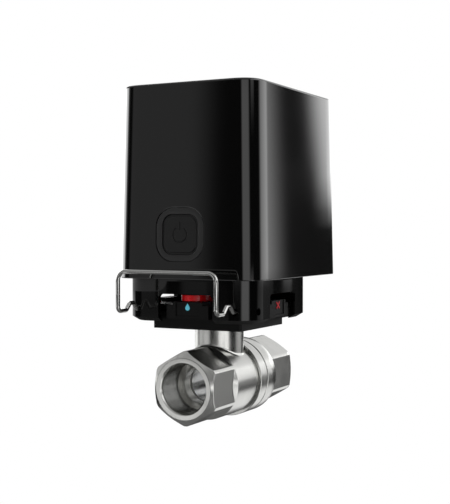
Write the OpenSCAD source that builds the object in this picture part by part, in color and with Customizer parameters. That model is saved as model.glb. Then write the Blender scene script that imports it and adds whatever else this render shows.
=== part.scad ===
// Motorised ball valve for a water pipe: a plated two-piece ball valve carries a square
// adapter, and a black actuator stands on the adapter, held by a bent wire clip.
// X runs across the front face, Y along the pipe from front to back, Z up the stem.
// The origin is where the stem axis crosses the pipe axis, at the centre of the ball.

/* [Valve] */
// Across the flats of the hexagon at each pipe end
hex_af = 32.6; // [31:0.1:34]
// Radius that the hexagon's corners are turned to
hex_turn_r = 18.3; // [17.8:0.1:18.6]
// Radius of the flat ring on each end face
face_ring_r = 15.1; // [14.6:0.1:15.6]
// Depth of the cone outside that ring
face_cone = 2.6; // [1:0.1:3]
// Radius of the threaded socket, at the crests of a 3/4 inch pipe thread
port_r = 12.06; // [11.6:0.02:12.6]
// Depth of the threaded socket
port_depth = 16; // [13:0.5:17]
// How much the lead-in widens the socket at its mouth
port_lead = 0.8; // [0.4:0.1:1.2]
// Depth of the lead-in
lead_depth = 2; // [1:0.1:3]
// Radius of the water way
flow_r = 9.6; // [8.5:0.1:10]
// From the stem axis to the front face
front_len = 37.7; // [36.5:0.1:40]
// From the stem axis to the rear face
rear_len = 55; // [50:0.5:60]
// From the stem axis to the front shoulder of the drum
drum_front = 14.6; // [14:0.1:16]
// From the stem axis to the rear shoulder of the drum
drum_rear = 27; // [25:0.5:30]
// Radius of the drum in front of the first groove
drum_front_r = 18.3; // [18:0.1:19.2]
// Radius of the drum behind the first groove
drum_r = 19.8; // [19.2:0.1:20.4]
// From the stem axis to the first turned groove
groove_y = 8.6; // [8:0.1:10]
// From the stem axis to the joint of body and end connector
split_y = 16.6; // [16:0.1:18]
// Width of each turned groove
groove_w = 1.6; // [1:0.1:2]
// Depth of each turned groove
groove_depth = 0.9; // [0.5:0.1:1]
// Radius of the ball
ball_r = 15; // [14.6:0.1:15]
// Radius of the neck that carries the actuator
neck_r = 12.5; // [11.5:0.1:13]
// Radius of the valve stem
stem_r = 5; // [4.5:0.1:5.4]

/* [Adapter] */
// Underside of the adapter plate above the pipe axis
plate_z = 27.8; // [27:0.1:29]
// Side of the square plate
plate_w = 49.5; // [47:0.5:52]
// Thickness of the plate
plate_t = 4; // [3:0.1:4.5]
// Top of the block above the wire clip's axis
block_over = 2.2; // [1.8:0.1:2.6]
// How far each sign tower stands behind the skirt's face
tower_inset = 2.3; // [1.8:0.1:2.8]
// Width of a sign tower
tower_w = 23.2; // [21:0.2:25]
// Width of the raised middle of a tower
tower_crown_w = 16.4; // [15:0.2:18]
// How far that middle stands above the block
crown_rise = 1.7; // [1:0.1:2]
// Width of the sunk panel that carries the sign
panel_w = 13; // [11:0.2:14]
// Depth of that panel
panel_sink = 0.5; // [0.3:0.1:0.8]
// Width of the drop signs
drop_w = 2.4; // [2:0.1:3.2]
// Width of the cross signs
cross_w = 4; // [3:0.1:4.6]

/* [Handle] */
// Width of the manual handle and diameter of its round ends
handle_w = 14.4; // [13:0.2:14.8]
// From the stem axis to the tip of the handle
handle_reach = 31.8; // [29:0.1:32.2]
// Thickness of the handle
handle_t = 3.8; // [3.2:0.1:4]
// How far the slope round the handle's top runs in
handle_slope_in = 2.2; // [1:0.1:2.4]
// Height of that slope
handle_slope_h = 1; // [0.5:0.1:1.2]

/* [Wire clip] */
// Diameter of the clip's wire
wire_d = 2.1; // [1.8:0.1:2.2]
// From the middle to each leg of the clip
clip_x = 26.6; // [26:0.1:27.2]
// Height of the legs above the pipe axis
clip_z = 38; // [37.4:0.1:38.4]
// Height of the pull bar above the pipe axis
clip_bar_z = 57.1; // [54:0.1:60]
// How far the pull bar stands in front of the skirt
clip_pull = 18.1; // [16:0.1:22]
// Height of the stop hump in each leg
clip_hump = 3.3; // [2.6:0.1:4]
// Radius at which each leg bends up to the pull bar
clip_bend = 2.4; // [1.6:0.1:2.8]
// Radius of the pull bar's two corners
bar_bend = 4.2; // [2:0.1:6]
// Radius of the bends in the stop hump
hump_bend = 1.5; // [1.2:0.1:2]

/* [Housing] */
// Width of the housing at its lower edge
case_w = 78.5; // [77:0.5:82]
// Depth of the housing at its lower edge
case_d = 106; // [104:0.5:112]
// How far the housing's front stands ahead of the skirt
case_over = 2.75; // [2.25:0.05:4]
// Lower edge of the housing above the pipe axis
case_z = 53; // [53:0.1:54]
// Height of the housing
case_h = 95.5; // [93:0.5:100]
// How much each side leans in over that height
case_lean = 1.7; // [1:0.1:2]
// Corner radius of the housing
case_r = 12; // [9:0.5:14]
// Bevel along the top edge
case_bevel = 1; // [0.5:0.1:2]
// Wall thickness of the housing
case_wall = 2.5; // [2:0.1:2.8]

/* [Skirt] */
// Side of the square skirt under the housing
skirt_w = 71.5; // [71:0.1:72]
// Corner radius of the skirt
skirt_r = 13; // [11:0.5:14]
// Wall thickness of the skirt
skirt_wall = 2.5; // [2.2:0.1:2.8]
// Lower edge of the skirt above the pipe axis
skirt_z = 32; // [31.8:0.1:32.5]
// Width of the window in each side, blind at the rear
window_w = 30; // [28:0.5:31]
// Top of the windows above the pipe axis
window_top = 45.7; // [45:0.1:46.2]
// Width of the shallow scoop above each window
scoop_w = 24.4; // [22:0.2:28]
// Depth of that scoop
scoop_depth = 0.4; // [0.3:0.1:0.8]
// Height of the chamfer round the skirt's foot
foot_h = 2; // [1:0.1:2.4]
// Inset of that chamfer
foot_in = 3.4; // [1:0.1:3.6]

/* [Button] */
// From the middle of the front to the button's centre
button_x = -1.5; // [-6:0.1:6]
// Height of the button's centre above the pipe axis
button_z = 74.7; // [72:0.1:80]
// Width of the round-cornered surround
bezel_w = 26; // [24:0.2:28]
// Width of the surround's opening
bezel_hole_w = 19.8; // [18.6:0.2:20.6]
// Width of the button's cap
button_w = 17.4; // [16:0.2:18]
// Travel of the button
button_travel = 0.6; // [0.3:0.1:0.7]

/* [Drive] */
// Teeth of the output gear
output_teeth = 50; // [44:1:52]
// Teeth of the second wheel
second_teeth = 45; // [40:1:46]
// Teeth of the first wheel
first_teeth = 30; // [26:1:32]
// Teeth of the two middle pinions
pinion_teeth = 12; // [12:1:13]
// Teeth of the motor pinion
motor_teeth = 10; // [10:1:11]
// Radius of the motor's can
motor_r = 12; // [10:0.5:12.5]
// Length of the motor's can
motor_len = 30; // [25:0.5:35]
// Radius of a battery cell
cell_r = 8.4; // [8:0.1:8.6]
// Length of a battery cell
cell_len = 34.5; // [33:0.1:35]

/* [Hidden] */
$fn = 48;

// Clearances
run_gap = 0.05;        // between a turning shaft and its bore
slip_gap = 0.1;        // between pieces that are pushed together by hand
move_gap = 0.3;        // between pieces that pass each other
eps = 0.01;            // overshoot of a cut past a face

// Valve
seat_face = ball_r - 1.5;                  // from the ball's centre to the back of each seat
seat_t = 5;                                // depth of a seat before the ball's hollow is taken out
seat_lip = seat_face - seat_t;
seat_r = ball_r - 0.8;
cavity_r = ball_r + 0.6;
thread_wall = 2;                           // wall left outside the thread that joins the two halves
spigot_r = drum_front_r - thread_wall;
stem_flange_r = stem_r + 2;
spigot_start = stem_flange_r + move_gap;   // the end connector's spigot stops short of the stem's flange
joint_gap = 0.4;                           // gap at the joint, inside the second groove
spigot_stop = split_y + joint_gap;
joint_y = split_y + joint_gap / 2;
groove_floor = drum_front_r - groove_depth;
seal_r = 0.7;                              // section radius of the ring seal at the joint
seal_room = 0.4;                           // spare width of that seal's groove
seal_y = split_y - 2.1;
squeeze = 0.02;                            // taken off a ring seal so that it only touches
stem_flange_z = ball_r + move_gap;
stem_flange_t = 2.2;
washer_t = 0.8;
slot_w = 5;                                // driving slot across the top of the ball
slot_z = ball_r - 3.4;
neck_spigot_r = neck_r - 3;
neck_flats = 2 * neck_spigot_r - 3;
nut_t = 4.6;
nut_af = 2 * neck_spigot_r + 7;
plate_top = plate_z + plate_t;
neck_top = plate_top + nut_t + 0.8;
head_z = neck_top + 0.6;                   // where the stem turns from round to square
ring_section = 0.6;
ring_pitch = 3.4;                          // between the two ring seals on the stem
ring_spots = [for (k = [-0.5, 0.5]) plate_z - 5.2 + k * ring_pitch];

// Adapter and handle
skirt_half = skirt_w / 2;
skirt_in = skirt_half - skirt_wall;
foot_rim = 0.4;                            // width of the skirt's edge at its foot
foot_lip = foot_in - skirt_wall + foot_rim;
foot_top = skirt_z + foot_h;
rear_skin = 1.2;                           // wall left outside the blind window at the rear
window_room = 1;                           // how far a window is cut past the wall's faces
wire_r = wire_d / 2;
track_h = wire_d + 0.5;                    // height of the clip's track along the block
block_half = clip_x + track_h / 2 + 0.1;   // the track stays open to the side
block_top = clip_z + block_over;
block_r = 3;
plate_r = 1.5;
tower_root = 3;                            // how far a tower reaches into the block
tower_top = block_top + crown_rise;
tower_face = skirt_half - tower_inset;
tower_foot = plate_top + 1.8;
panel_z = tower_foot + 1.2;
panel_face = tower_face - panel_sink;
sign_t = 0.3;
cross_z = tower_top - 2.4;
drop_z = tower_top - 2.9;
well_r = nut_af / cos(30) / 2 + 4.5;
handle_z = tower_top + move_gap + slip_gap;
handle_top = handle_z + handle_t;
handle_hub_r = 8;
handle_hub_z = neck_top + 1.2;
head_w = 7;                                // square head of the stem
head_top = handle_top - 1.5;
head_screw_r = 1.2;
head_screw_len = 5;
head_screw_seat = head_top + move_gap;
head_screw_cap_r = 2.9;
tap_gap = 0.05;                            // between a screw's shank and its tapped hole
screw_gap = 0.45;                          // between a screw's shank and a clear hole

// Wire clip
clip_bar_y = -skirt_half - clip_pull;
clip_tail_y = skirt_half - 1.2;
clip_stop_y = -skirt_half - 1.1;           // where the hump ends, just clear of the skirt
clip_ramp = 3.4;
clip_crest = 3;
leg_bends = [0, hump_bend, hump_bend, hump_bend, hump_bend, clip_bend, bar_bend];
hole_w = wire_d + 0.7;
hole_h = wire_d + 1.5;
hole_reach = 4;                            // how far a clip hole is cut past both faces of the wall

// Housing
case_front = skirt_half + case_over;       // from the stem axis to the front face
case_mid = case_d / 2 - case_front;        // Y of the housing's centre
case_top = case_z + case_h;
lean_angle = atan(case_lean / case_h);
roof_t = case_wall + 0.3;
deck_sink = 0.5;                           // how far the deck lies inside the housing's edge
deck_z = case_z + deck_sink;
deck_t = 3;
deck_top = deck_z + deck_t;
roof_drop = 3;                             // thickness of the skirt's roof under the deck
inside_w = case_w - 2 * case_wall;
inside_d = case_d - 2 * case_wall;
deck_w = inside_w - 2 * slip_gap;
deck_d = inside_d - 2 * slip_gap;
deck_r = case_r - case_wall;
skirt_roof = deck_z - roof_drop;
shaft_r = 6;
shaft_seal_r = 0.85;                       // section radius of the output shaft's ring seal
shaft_seal_room = 2;
cover_screw_r = 1.25;
cover_screw_len = 13;
cover_head_r = 2.8;
cover_head_h = 1.8;
cover_head_seat = deck_z + 1;
boss_r = 4;
boss_h = 16;
boss_rib = 3;
front_boss = [skirt_in - cover_head_r - 0.4, -window_w / 2 - cover_head_r - 0.4];
rear_boss = [case_w / 2 - case_wall - 6, case_d / 2 + case_mid - case_wall - 7];
boss_spots = [for (sx = [-1, 1], p = [front_boss, rear_boss]) [sx * p[0], p[1]]];
gasket_z = deck_z + 0.8;
gasket_h = 1.4;
gasket_in = 1.3;
ledge_half = (handle_reach + 2.4) / sqrt(2);   // corner ledges stand on the block, clear of the handle
window_r = 2;

// Front face where the button sits
button_face = -case_front + case_lean * (button_z - case_z) / case_h;
bezel_t = 1.4;
bezel_r = 9.5;
bezel_hole_r = 6.4;
button_r = 5;
button_sink = 0.2;
flange_t = 0.7;
flange_w = bezel_hole_w + 2;
flange_room = 1;
button_back = bezel_t + slip_gap + flange_t;

// Drive train
gear_angle = 25;
addendum = 0.9;                            // tooth height above the pitch circle, in modules
dedendum = 1.15;                           // tooth depth below it
tooth_play = 0.12;                         // thickness taken off each tooth for backlash
output_module = 1;
second_module = 0.8;
first_module = 0.6;
stage_gap = 2;                             // height between one wheel and the next
overhang = 0.5;                            // how far a pinion stands past its wheel on each side
output_z = deck_top + 1.5;
output_t = 6;
output_top = output_z + output_t;
second_z = output_top + stage_gap;
second_t = 4;
first_z = second_z + second_t + stage_gap;
first_t = 3;
first_tip = first_module * (first_teeth / 2 + addendum);
second_at = [0, output_module * (output_teeth + pinion_teeth) / 2];
first_gap = second_module * (second_teeth + pinion_teeth) / 2;
rear_room = 4;                             // least room behind the motor
rear_reach = case_d - case_front - case_wall - case_lean - rear_room - motor_r - second_at[1];
second_dir = asin(min(sin(45), rear_reach / first_gap));   // direction from the second axle to the first
first_at = second_at + first_gap * [cos(second_dir), sin(second_dir)];
motor_dir = 180;                           // direction from the first axle to the motor
motor_gap = first_module * (first_teeth + motor_teeth) / 2;
motor_at = first_at + motor_gap * [cos(motor_dir), sin(motor_dir)];
axle_r = 1.5;
axle_sink = 2;
axle_spots = [second_at, first_at];
hub_r = 3.2;
press_gap = 0.01;                          // between a pin and the hole it is pressed into
motor_shaft_r = 1;
motor_nose_r = 3;
motor_screw_r = 0.95;
small_head_r = 1.8;                        // heads of the motor's and the circuit board's screws
small_head_h = 1.2;
motor_screw_spots = [for (s = [-1, 1]) motor_at + [0, s * (motor_r - 4)]];
chassis_z = first_z + first_t + stage_gap;
chassis_t = 3;
chassis_top = chassis_z + chassis_t;
motor_top = chassis_top + motor_len;
journal_r = 4;
collar_r = shaft_r + 3;
ring_groove_r = journal_r + 0.4;           // floor of the groove for the retaining ring
fork_t = 4;                                // reach of the drive fork past the handle's sides
fork_half = 8;
fork_gap = 0.8;                            // height between the fork and the handle
flat_in = 1;                               // depth of the two flats that drive the output gear
ring_w = 0.7;                              // thickness of the retaining ring
magnet_r = 2.45;
magnet_t = 2;
magnet_at = output_module * output_teeth / 2 - 5;

// Boards, chassis and batteries
board_t = 1.6;
board_front = -case_front + case_wall + case_lean + 2.5;
board_y = board_front + board_t;           // rear face of the circuit board
chassis_front = board_y + 1.2;
chassis_rear = motor_at[1] + motor_r + 2;
chassis_half = case_w / 2 - case_wall - case_lean - 2;
pillar_r = 3;
pillar_in = pillar_r + 0.4;
pillar_screw_r = 1.25;
pillar_screw_len = 10;
pillar_head_r = 2.4;
pillar_head_h = 1.6;
pillar_spots = [for (sx = [-1, 1], p = [[chassis_half - 11, chassis_front + pillar_in],
                                        [chassis_half - pillar_in, 14],
                                        [chassis_half - pillar_in, first_at[1] - first_tip - pillar_r - 1]])
                [sx * p[0], p[1]]];
board_half = chassis_half - 3;
board_low = deck_top + 5;
board_high = case_top - 12;
board_boss_r = 3;
board_screw_r = 0.95;
board_screw_len = board_t + 3;
board_boss_in = board_boss_r + 0.5;
board_boss_spots = [for (sx = [-1, 1], z = [board_low + 4, board_high - 4])
                    [sx * (board_half - board_boss_in), board_front, z]];
switch_w = 6;
switch_h = 2.6;
switch_nub_r = 1.7;
switch_face = board_front - switch_h;
switch_tip = button_face + button_back + button_travel + move_gap;
radio_w = 20;
radio_h = 22;
radio_t = 2.4;
cell_pitch = 2 * cell_r + 1.2;
cell_room = 0.3;
cell_cap_r = 3.2;
cell_cap_h = 1.2;
tray_wall = 1.6;
tray_floor = 2;
tray_h = 24;
tray_post = 3;
tray_half = cell_pitch / 2 + cell_r + cell_room + tray_wall;
tray_y = chassis_front + 5.4 + tray_half;
cell_z = chassis_top + tray_floor;
cell_top = cell_z + cell_len;
contact_t = 1.6;

// Places a shape on each of the four sides, starting at the front
module each_side(sides = [0, 1, 2, 3]) {
  for (k = sides) rotate(90 * k) children();
}

// Round-cornered rectangle about the origin
module round_rect(w, h, r) {
  square([w - 2 * r, h], center = true);
  square([w, h - 2 * r], center = true);
  for (sx = [-1, 1], sy = [-1, 1]) translate([sx * (w / 2 - r), sy * (h / 2 - r)]) circle(r);
}

// Round-cornered block from z0 to z1, centred on y
module round_block(w, d, r, z0, z1, y = 0) {
  translate([0, y, z0]) linear_extrude(z1 - z0) round_rect(w, d, r);
}

// Solid turned about the pipe axis from a [radius, y] outline
module turned_y(outline) {
  rotate([-90, 0, 0]) rotate_extrude($fn = 96) polygon(outline);
}

// Cylinder along the pipe axis from y0 to y1
module rod_y(r, y0, y1) {
  translate([0, y0, 0]) rotate([-90, 0, 0]) cylinder(r = r, h = y1 - y0, $fn = 96);
}

// Cylinder along the stem axis from z0 to z1
module rod_z(r, z0, z1) {
  translate([0, 0, z0]) cylinder(r = r, h = z1 - z0);
}

// Ring seal of round section about the stem axis
module ring_seal(r, section, z) {
  translate([0, 0, z]) rotate_extrude() translate([r, 0]) circle(section, $fn = 24);
}

// Pan-head screw pointing down, its head's underside at the origin
module pan_screw(shank_r, shank_len, head_r, head_h) {
  slot = 0.28 * head_r;
  difference() {
    union() {
      cylinder(r = head_r, h = head_h);
      translate([0, 0, -shank_len]) cylinder(r = shank_r, h = shank_len + eps);
    }
    translate([-head_r, -slot / 2, head_h / 2]) cube([2 * head_r, slot, head_h]);
  }
}

// Spur gear outline: involute flanks above the base circle, radial below it
function inv_angle(a) = tan(a) * 180 / PI - a;
function half_tooth(r, rp, rb, teeth) =
  90 / teeth - tooth_play / (2 * rp) * 180 / PI + inv_angle(gear_angle)
  - inv_angle(r > rb ? acos(rb / r) : 0);
module gear_outline(module_mm, teeth) {
  rp = module_mm * teeth / 2;
  rb = rp * cos(gear_angle);
  tip = rp + addendum * module_mm;
  root = rp - dedendum * module_mm;
  radii = [root, (root + rp) / 2, rp, (rp + tip) / 2, tip];
  count = len(radii);
  polygon([for (k = [0:teeth - 1], j = [0:2 * count - 1])
    let (rising = j < count,
         r = rising ? radii[j] : radii[2 * count - 1 - j],
         a = 360 / teeth * k + (rising ? -1 : 1) * half_tooth(r, rp, rb, teeth))
    r * [cos(a), sin(a)]]);
}

// Gear from z0 with its first tooth turned to the given angle
module gear(module_mm, teeth, z0, t, turn = 0) {
  translate([0, 0, z0]) linear_extrude(t) rotate(turn) gear_outline(module_mm, teeth);
}

// Bent round wire: rounds the corners of a list of points, then sweeps a ring along them
function unit(v) = v / norm(v);
function rounded_path(p, bends, steps = 6) = [for (i = [0:len(p) - 1]) each
  i == 0 || i == len(p) - 1 ? [p[i]]
  : let (before = unit(p[i] - p[i - 1]),
         after = unit(p[i + 1] - p[i]),
         turn = acos(before * after),
         inward = unit(after - (after * before) * before),
         start = p[i] - before * bends[i] * tan(turn / 2))
    [for (k = [0:steps]) let (a = turn * k / steps)
      start + bends[i] * (sin(a) * before + (1 - cos(a)) * inward)]];
function path_tangent(p, i) = unit(p[min(i + 1, len(p) - 1)] - p[max(i - 1, 0)]);
// Across the ring: along X while the wire runs in a leg's own plane, and square to Y in the bar's
function ring_across(t, p) = abs(t[1]) > 0.01 ? [p[0] < 0 ? 1 : -1, 0, 0] : cross([0, 1, 0], t);
module swept_wire(p, r, sides = 16) {
  rings = [for (i = [0:len(p) - 1])
    let (t = path_tangent(p, i), n = ring_across(t, p[i]), b = cross(t, n))
    for (k = [0:sides - 1]) p[i] + r * (cos(360 * k / sides) * n + sin(360 * k / sides) * b)];
  walls = [for (i = [0:len(p) - 2], k = [0:sides - 1])
    let (a = i * sides + k, b = i * sides + (k + 1) % sides)
    each [[a, a + sides, b], [b, a + sides, b + sides]]];
  last = (len(p) - 1) * sides;
  caps = [[for (k = [0:sides - 1]) k], [for (k = [sides - 1:-1:0]) last + k]];
  polyhedron(rings, concat(walls, caps));
}

// Hexagon end of a pipe fitting from y0 to y1, its corners turned round
module hex_end(y0, y1) {
  intersection() {
    translate([0, y0, 0]) rotate([-90, 0, 0]) rotate(30)
      cylinder(d = hex_af / cos(30), h = y1 - y0, $fn = 6);
    rod_y(hex_turn_r, y0, y1);
  }
}

// Cone that bevels the hexagon outside the ring face
module face_bevel(face, inward) {
  over = face - inward * face_cone;
  wide = hex_turn_r + 2;
  reach = (wide - face_ring_r) * face_cone / (hex_turn_r - face_ring_r);
  turned_y([[face_ring_r, face], [wide, face + inward * reach], [wide, over], [face_ring_r, over]]);
}

// Threaded socket with its lead-in and the cone down to the water way
module port_cut(face, inward) {
  mouth = face - inward * eps;
  end = face + inward * port_depth;
  turned_y([[0, mouth], [port_r + port_lead, mouth], [port_r + port_lead, face],
            [port_r, face + inward * lead_depth], [port_r, end],
            [flow_r, end + inward * (port_r - flow_r)], [0, end + inward * (port_r - flow_r)]]);
}

// Turned groove round the drum, wider at its mouth
module groove_cut(y) {
  turned_y([[groove_floor, y - groove_w / 4], [groove_floor, y + groove_w / 4],
            [drum_r + eps, y + groove_w / 2], [drum_r + eps, y - groove_w / 2]]);
}

// Square-sided spigot on top of the neck that keeps the adapter from turning
module neck_spigot(gap = 0) {
  intersection() {
    rod_z(neck_spigot_r + gap, plate_z - eps, neck_top);
    translate([-neck_flats / 2 - gap, -neck_r, plate_z - eps])
      cube([neck_flats + 2 * gap, 2 * neck_r, neck_top]);
  }
}

module valve_body() {
  flange_top = stem_flange_z + stem_flange_t + washer_t;
  flat_r = hex_af / 2;
  flat_end = -drum_front - drum_front_r + flat_r;
  color("silver") difference() {
    union() {
      hex_end(-front_len, -drum_front + eps);
      turned_y([[0, flat_end], [flat_r, flat_end], [drum_front_r, -drum_front], [0, -drum_front]]);
      rod_y(drum_front_r, -drum_front - eps, split_y);
      rod_y(drum_r, groove_y, split_y);
      rod_z(neck_r, 0, plate_z);
      neck_spigot();
    }
    face_bevel(-front_len, 1);
    port_cut(-front_len, 1);
    rod_y(flow_r, -front_len + port_depth, 0);
    rod_y(seat_r + slip_gap, -seat_face, 0);
    rod_y(cavity_r, -seat_lip, spigot_start);
    rod_y(spigot_r + run_gap, spigot_start - slip_gap, split_y + eps);
    groove_cut(groove_y);
    groove_cut(joint_y);
    rod_z(stem_flange_r + slip_gap, 0, flange_top);
    rod_z(stem_r + run_gap, 0, neck_top + eps);
  }
}

module end_connector() {
  seal_half = seal_r + seal_room / 2;
  color("silver") difference() {
    union() {
      rod_y(spigot_r, spigot_start, spigot_stop + eps);
      rod_y(drum_r, spigot_stop, drum_rear);
      hex_end(drum_rear - eps, rear_len);
    }
    face_bevel(rear_len, -1);
    port_cut(rear_len, -1);
    groove_cut(joint_y);
    rod_y(flow_r, seat_face - eps, rear_len - port_depth);
    rod_y(seat_r + slip_gap, spigot_start - eps, seat_face);
    turned_y([[spigot_r - 2 * seal_r, seal_y - seal_half], [spigot_r - 2 * seal_r, seal_y + seal_half],
              [spigot_r + eps, seal_y + seal_half], [spigot_r + eps, seal_y - seal_half]]);
  }
}

module joint_seal() {
  color("dimgray") translate([0, seal_y, 0]) rotate([-90, 0, 0])
    rotate_extrude() translate([spigot_r - seal_r, 0]) circle(seal_r - squeeze, $fn = 24);
}

module ball() {
  color("gainsboro") difference() {
    sphere(ball_r, $fn = 96);
    rod_y(flow_r, -ball_r, ball_r);
    translate([-ball_r, -slot_w / 2, slot_z]) cube([2 * ball_r, slot_w, ball_r]);
  }
}

module ball_seats() {
  color("white") for (side = [0, 1]) rotate(180 * side) difference() {
    rod_y(seat_r, -seat_face, -seat_lip);
    rod_y(flow_r, -seat_face - eps, 0);
    sphere(ball_r + run_gap, $fn = 96);
  }
}

module stem() {
  tang = slot_w - 2 * slip_gap;
  ring_h = 2 * ring_section + 2 * slip_gap;
  color("goldenrod") difference() {
    union() {
      intersection() {
        rod_z(stem_r, slot_z + slip_gap, stem_flange_z + eps);
        translate([-stem_r, -tang / 2, 0]) cube([2 * stem_r, tang, 2 * ball_r]);
      }
      rod_z(stem_flange_r, stem_flange_z, stem_flange_z + stem_flange_t);
      rod_z(stem_r, stem_flange_z, head_z);
      translate([-head_w / 2, -head_w / 2, head_z - eps]) cube([head_w, head_w, head_top - head_z]);
    }
    for (z = ring_spots) difference() {
      rod_z(stem_r + eps, z - ring_h / 2, z + ring_h / 2);
      rod_z(stem_r - 2 * ring_section, z - ring_h, z + ring_h);
    }
    rod_z(head_screw_r + tap_gap, head_screw_seat - head_screw_len - 1, head_top + eps);
  }
}

module stem_o_rings() {
  color("dimgray") for (z = ring_spots) ring_seal(stem_r - ring_section, ring_section - squeeze, z);
}

module thrust_washer() {
  low = stem_flange_z + stem_flange_t;
  color("white") difference() {
    rod_z(stem_flange_r, low + run_gap, low + washer_t);
    rod_z(stem_r + slip_gap, low, low + washer_t + eps);
  }
}

// Outline of a sign tower seen from its front, crown and shoulders
module tower_outline() {
  translate([-tower_w / 2, tower_foot]) square([tower_w, block_top - tower_foot]);
  translate([-tower_crown_w / 2, tower_foot]) square([tower_crown_w, tower_top - tower_foot]);
}

module mount_plate() {
  track_low = clip_x - track_h / 2;
  color([0.06, 0.06, 0.06]) difference() {
    union() {
      round_block(plate_w, plate_w, plate_r, plate_z, plate_top);
      round_block(2 * block_half, 2 * block_half, block_r, plate_top - eps, block_top);
      each_side() translate([0, tower_root - block_half, 0]) rotate([90, 0, 0])
        linear_extrude(tower_face - block_half + tower_root) tower_outline();
    }
    neck_spigot(slip_gap);
    rod_z(well_r, plate_top, tower_top + eps);
    each_side() {
      translate([-panel_w / 2, -tower_face - eps, panel_z]) cube([panel_w, panel_sink + eps, tower_top]);
      translate([track_low, -block_half - eps, clip_z - track_h / 2])
        cube([block_half + eps - track_low, 2 * block_half + 2 * eps, track_h]);
    }
  }
}

module lock_nut() {
  color("goldenrod") difference() {
    translate([0, 0, plate_top]) cylinder(d = nut_af / cos(30), h = nut_t, $fn = 6);
    rod_z(neck_spigot_r + run_gap, plate_top - eps, plate_top + nut_t + eps);
  }
}

// Water drop outline of the given width, standing on its round end, its sides touching the round
module drop_outline(w) {
  r = w / 2;
  tip = 1.9 * r;
  side = asin(r / tip);
  circle(r, $fn = 32);
  polygon([[-r * cos(side), r * sin(side)], [0, tip], [r * cos(side), r * sin(side)]]);
}

// Diagonal cross outline of the given width, a little lower than it is wide
module cross_outline(w) {
  bar = 0.2 * w;
  slant = 48;
  for (a = [-slant, slant]) rotate(a) square([bar, (w - bar * cos(slant)) / sin(slant)], center = true);
}

// Stands a flat sign on the sunk panel of the front tower
module on_panel(z) {
  translate([0, -panel_face, z]) rotate([90, 0, 0]) linear_extrude(sign_t) children();
}

module open_signs() {
  color("deepskyblue") each_side([0, 2]) on_panel(drop_z) drop_outline(drop_w);
}

module closed_signs() {
  color("crimson") each_side([1, 3]) on_panel(cross_z) cross_outline(cross_w);
}

// Bar with round ends in plan, drawn in all round by the given distance
module handle_bar(inset) {
  hull() for (s = [-1, 1]) translate([0, s * (handle_reach - handle_w / 2)]) circle(handle_w / 2 - inset);
}

module manual_handle() {
  socket = head_w + 2 * slip_gap;
  color("red") difference() {
    union() {
      hull() {
        translate([0, 0, handle_z]) linear_extrude(handle_t - handle_slope_h) handle_bar(0);
        translate([0, 0, handle_top - eps]) linear_extrude(eps) handle_bar(handle_slope_in);
      }
      rod_z(handle_hub_r, handle_hub_z, handle_z + eps);
    }
    translate([-socket / 2, -socket / 2, neck_top]) cube([socket, socket, head_top - neck_top]);
    rod_z(head_screw_r + screw_gap, head_top - eps, handle_top);
    rod_z(head_screw_cap_r + slip_gap, head_screw_seat, handle_top + eps);
  }
}

module handle_screw() {
  color("lightgray") translate([0, 0, head_screw_seat])
    pan_screw(head_screw_r, head_screw_len, head_screw_cap_r, handle_top - head_screw_seat - slip_gap);
}

// Clip path: tail in the rear wall, along the block, over the hump, up to the pull bar
function clip_leg(sx) = [[sx * clip_x, clip_tail_y, clip_z],
  [sx * clip_x, clip_stop_y, clip_z],
  [sx * clip_x, clip_stop_y - clip_ramp, clip_z + clip_hump],
  [sx * clip_x, clip_stop_y - clip_ramp - clip_crest, clip_z + clip_hump],
  [sx * clip_x, clip_stop_y - 2 * clip_ramp - clip_crest, clip_z],
  [sx * clip_x, clip_bar_y, clip_z],
  [sx * clip_x, clip_bar_y, clip_bar_z]];
function backwards(list) = [for (i = [len(list) - 1:-1:0]) list[i]];

module retaining_clip() {
  color("gainsboro") swept_wire(rounded_path(concat(clip_leg(-1), backwards(clip_leg(1))),
                                             concat(leg_bends, backwards(leg_bends))), wire_r);
}

// Pair of upright slots through the front wall for the clip's legs
module clip_holes() {
  rise = (hole_h - hole_w) / 2;
  deep = skirt_wall + 2 * hole_reach;
  for (sx = [-1, 1]) translate([sx * clip_x, -skirt_half - hole_reach, clip_z]) {
    for (sz = [-1, 1]) translate([0, 0, sz * rise]) rotate([-90, 0, 0])
      cylinder(d = hole_w, h = deep, $fn = 24);
    translate([-hole_w / 2, 0, -rise]) cube([hole_w, deep, 2 * rise]);
  }
}

// Window through the front wall, open at the foot and round at its upper corners
module window_cut() {
  low = skirt_z - window_room;
  deep = skirt_wall + foot_lip + 2 * window_room;
  inner_w = window_w - 2 * window_r;
  translate([0, -skirt_half - window_room, 0]) {
    translate([-window_w / 2, 0, low]) cube([window_w, deep, window_top - window_r - low]);
    translate([-inner_w / 2, 0, low]) cube([inner_w, deep, window_top - low]);
    for (sx = [-1, 1]) translate([sx * inner_w / 2, 0, window_top - window_r])
      rotate([-90, 0, 0]) cylinder(r = window_r, h = deep);
  }
}

// Shallow hollow above a window, part of a large upright cylinder
module scoop_cut() {
  half = scoop_w / 2;
  scoop_r = (half * half + scoop_depth * scoop_depth) / (2 * scoop_depth);
  translate([0, -skirt_half - scoop_r + scoop_depth, window_top - 1])
    cylinder(r = scoop_r, h = case_z - window_top, $fn = 480);
}

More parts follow.
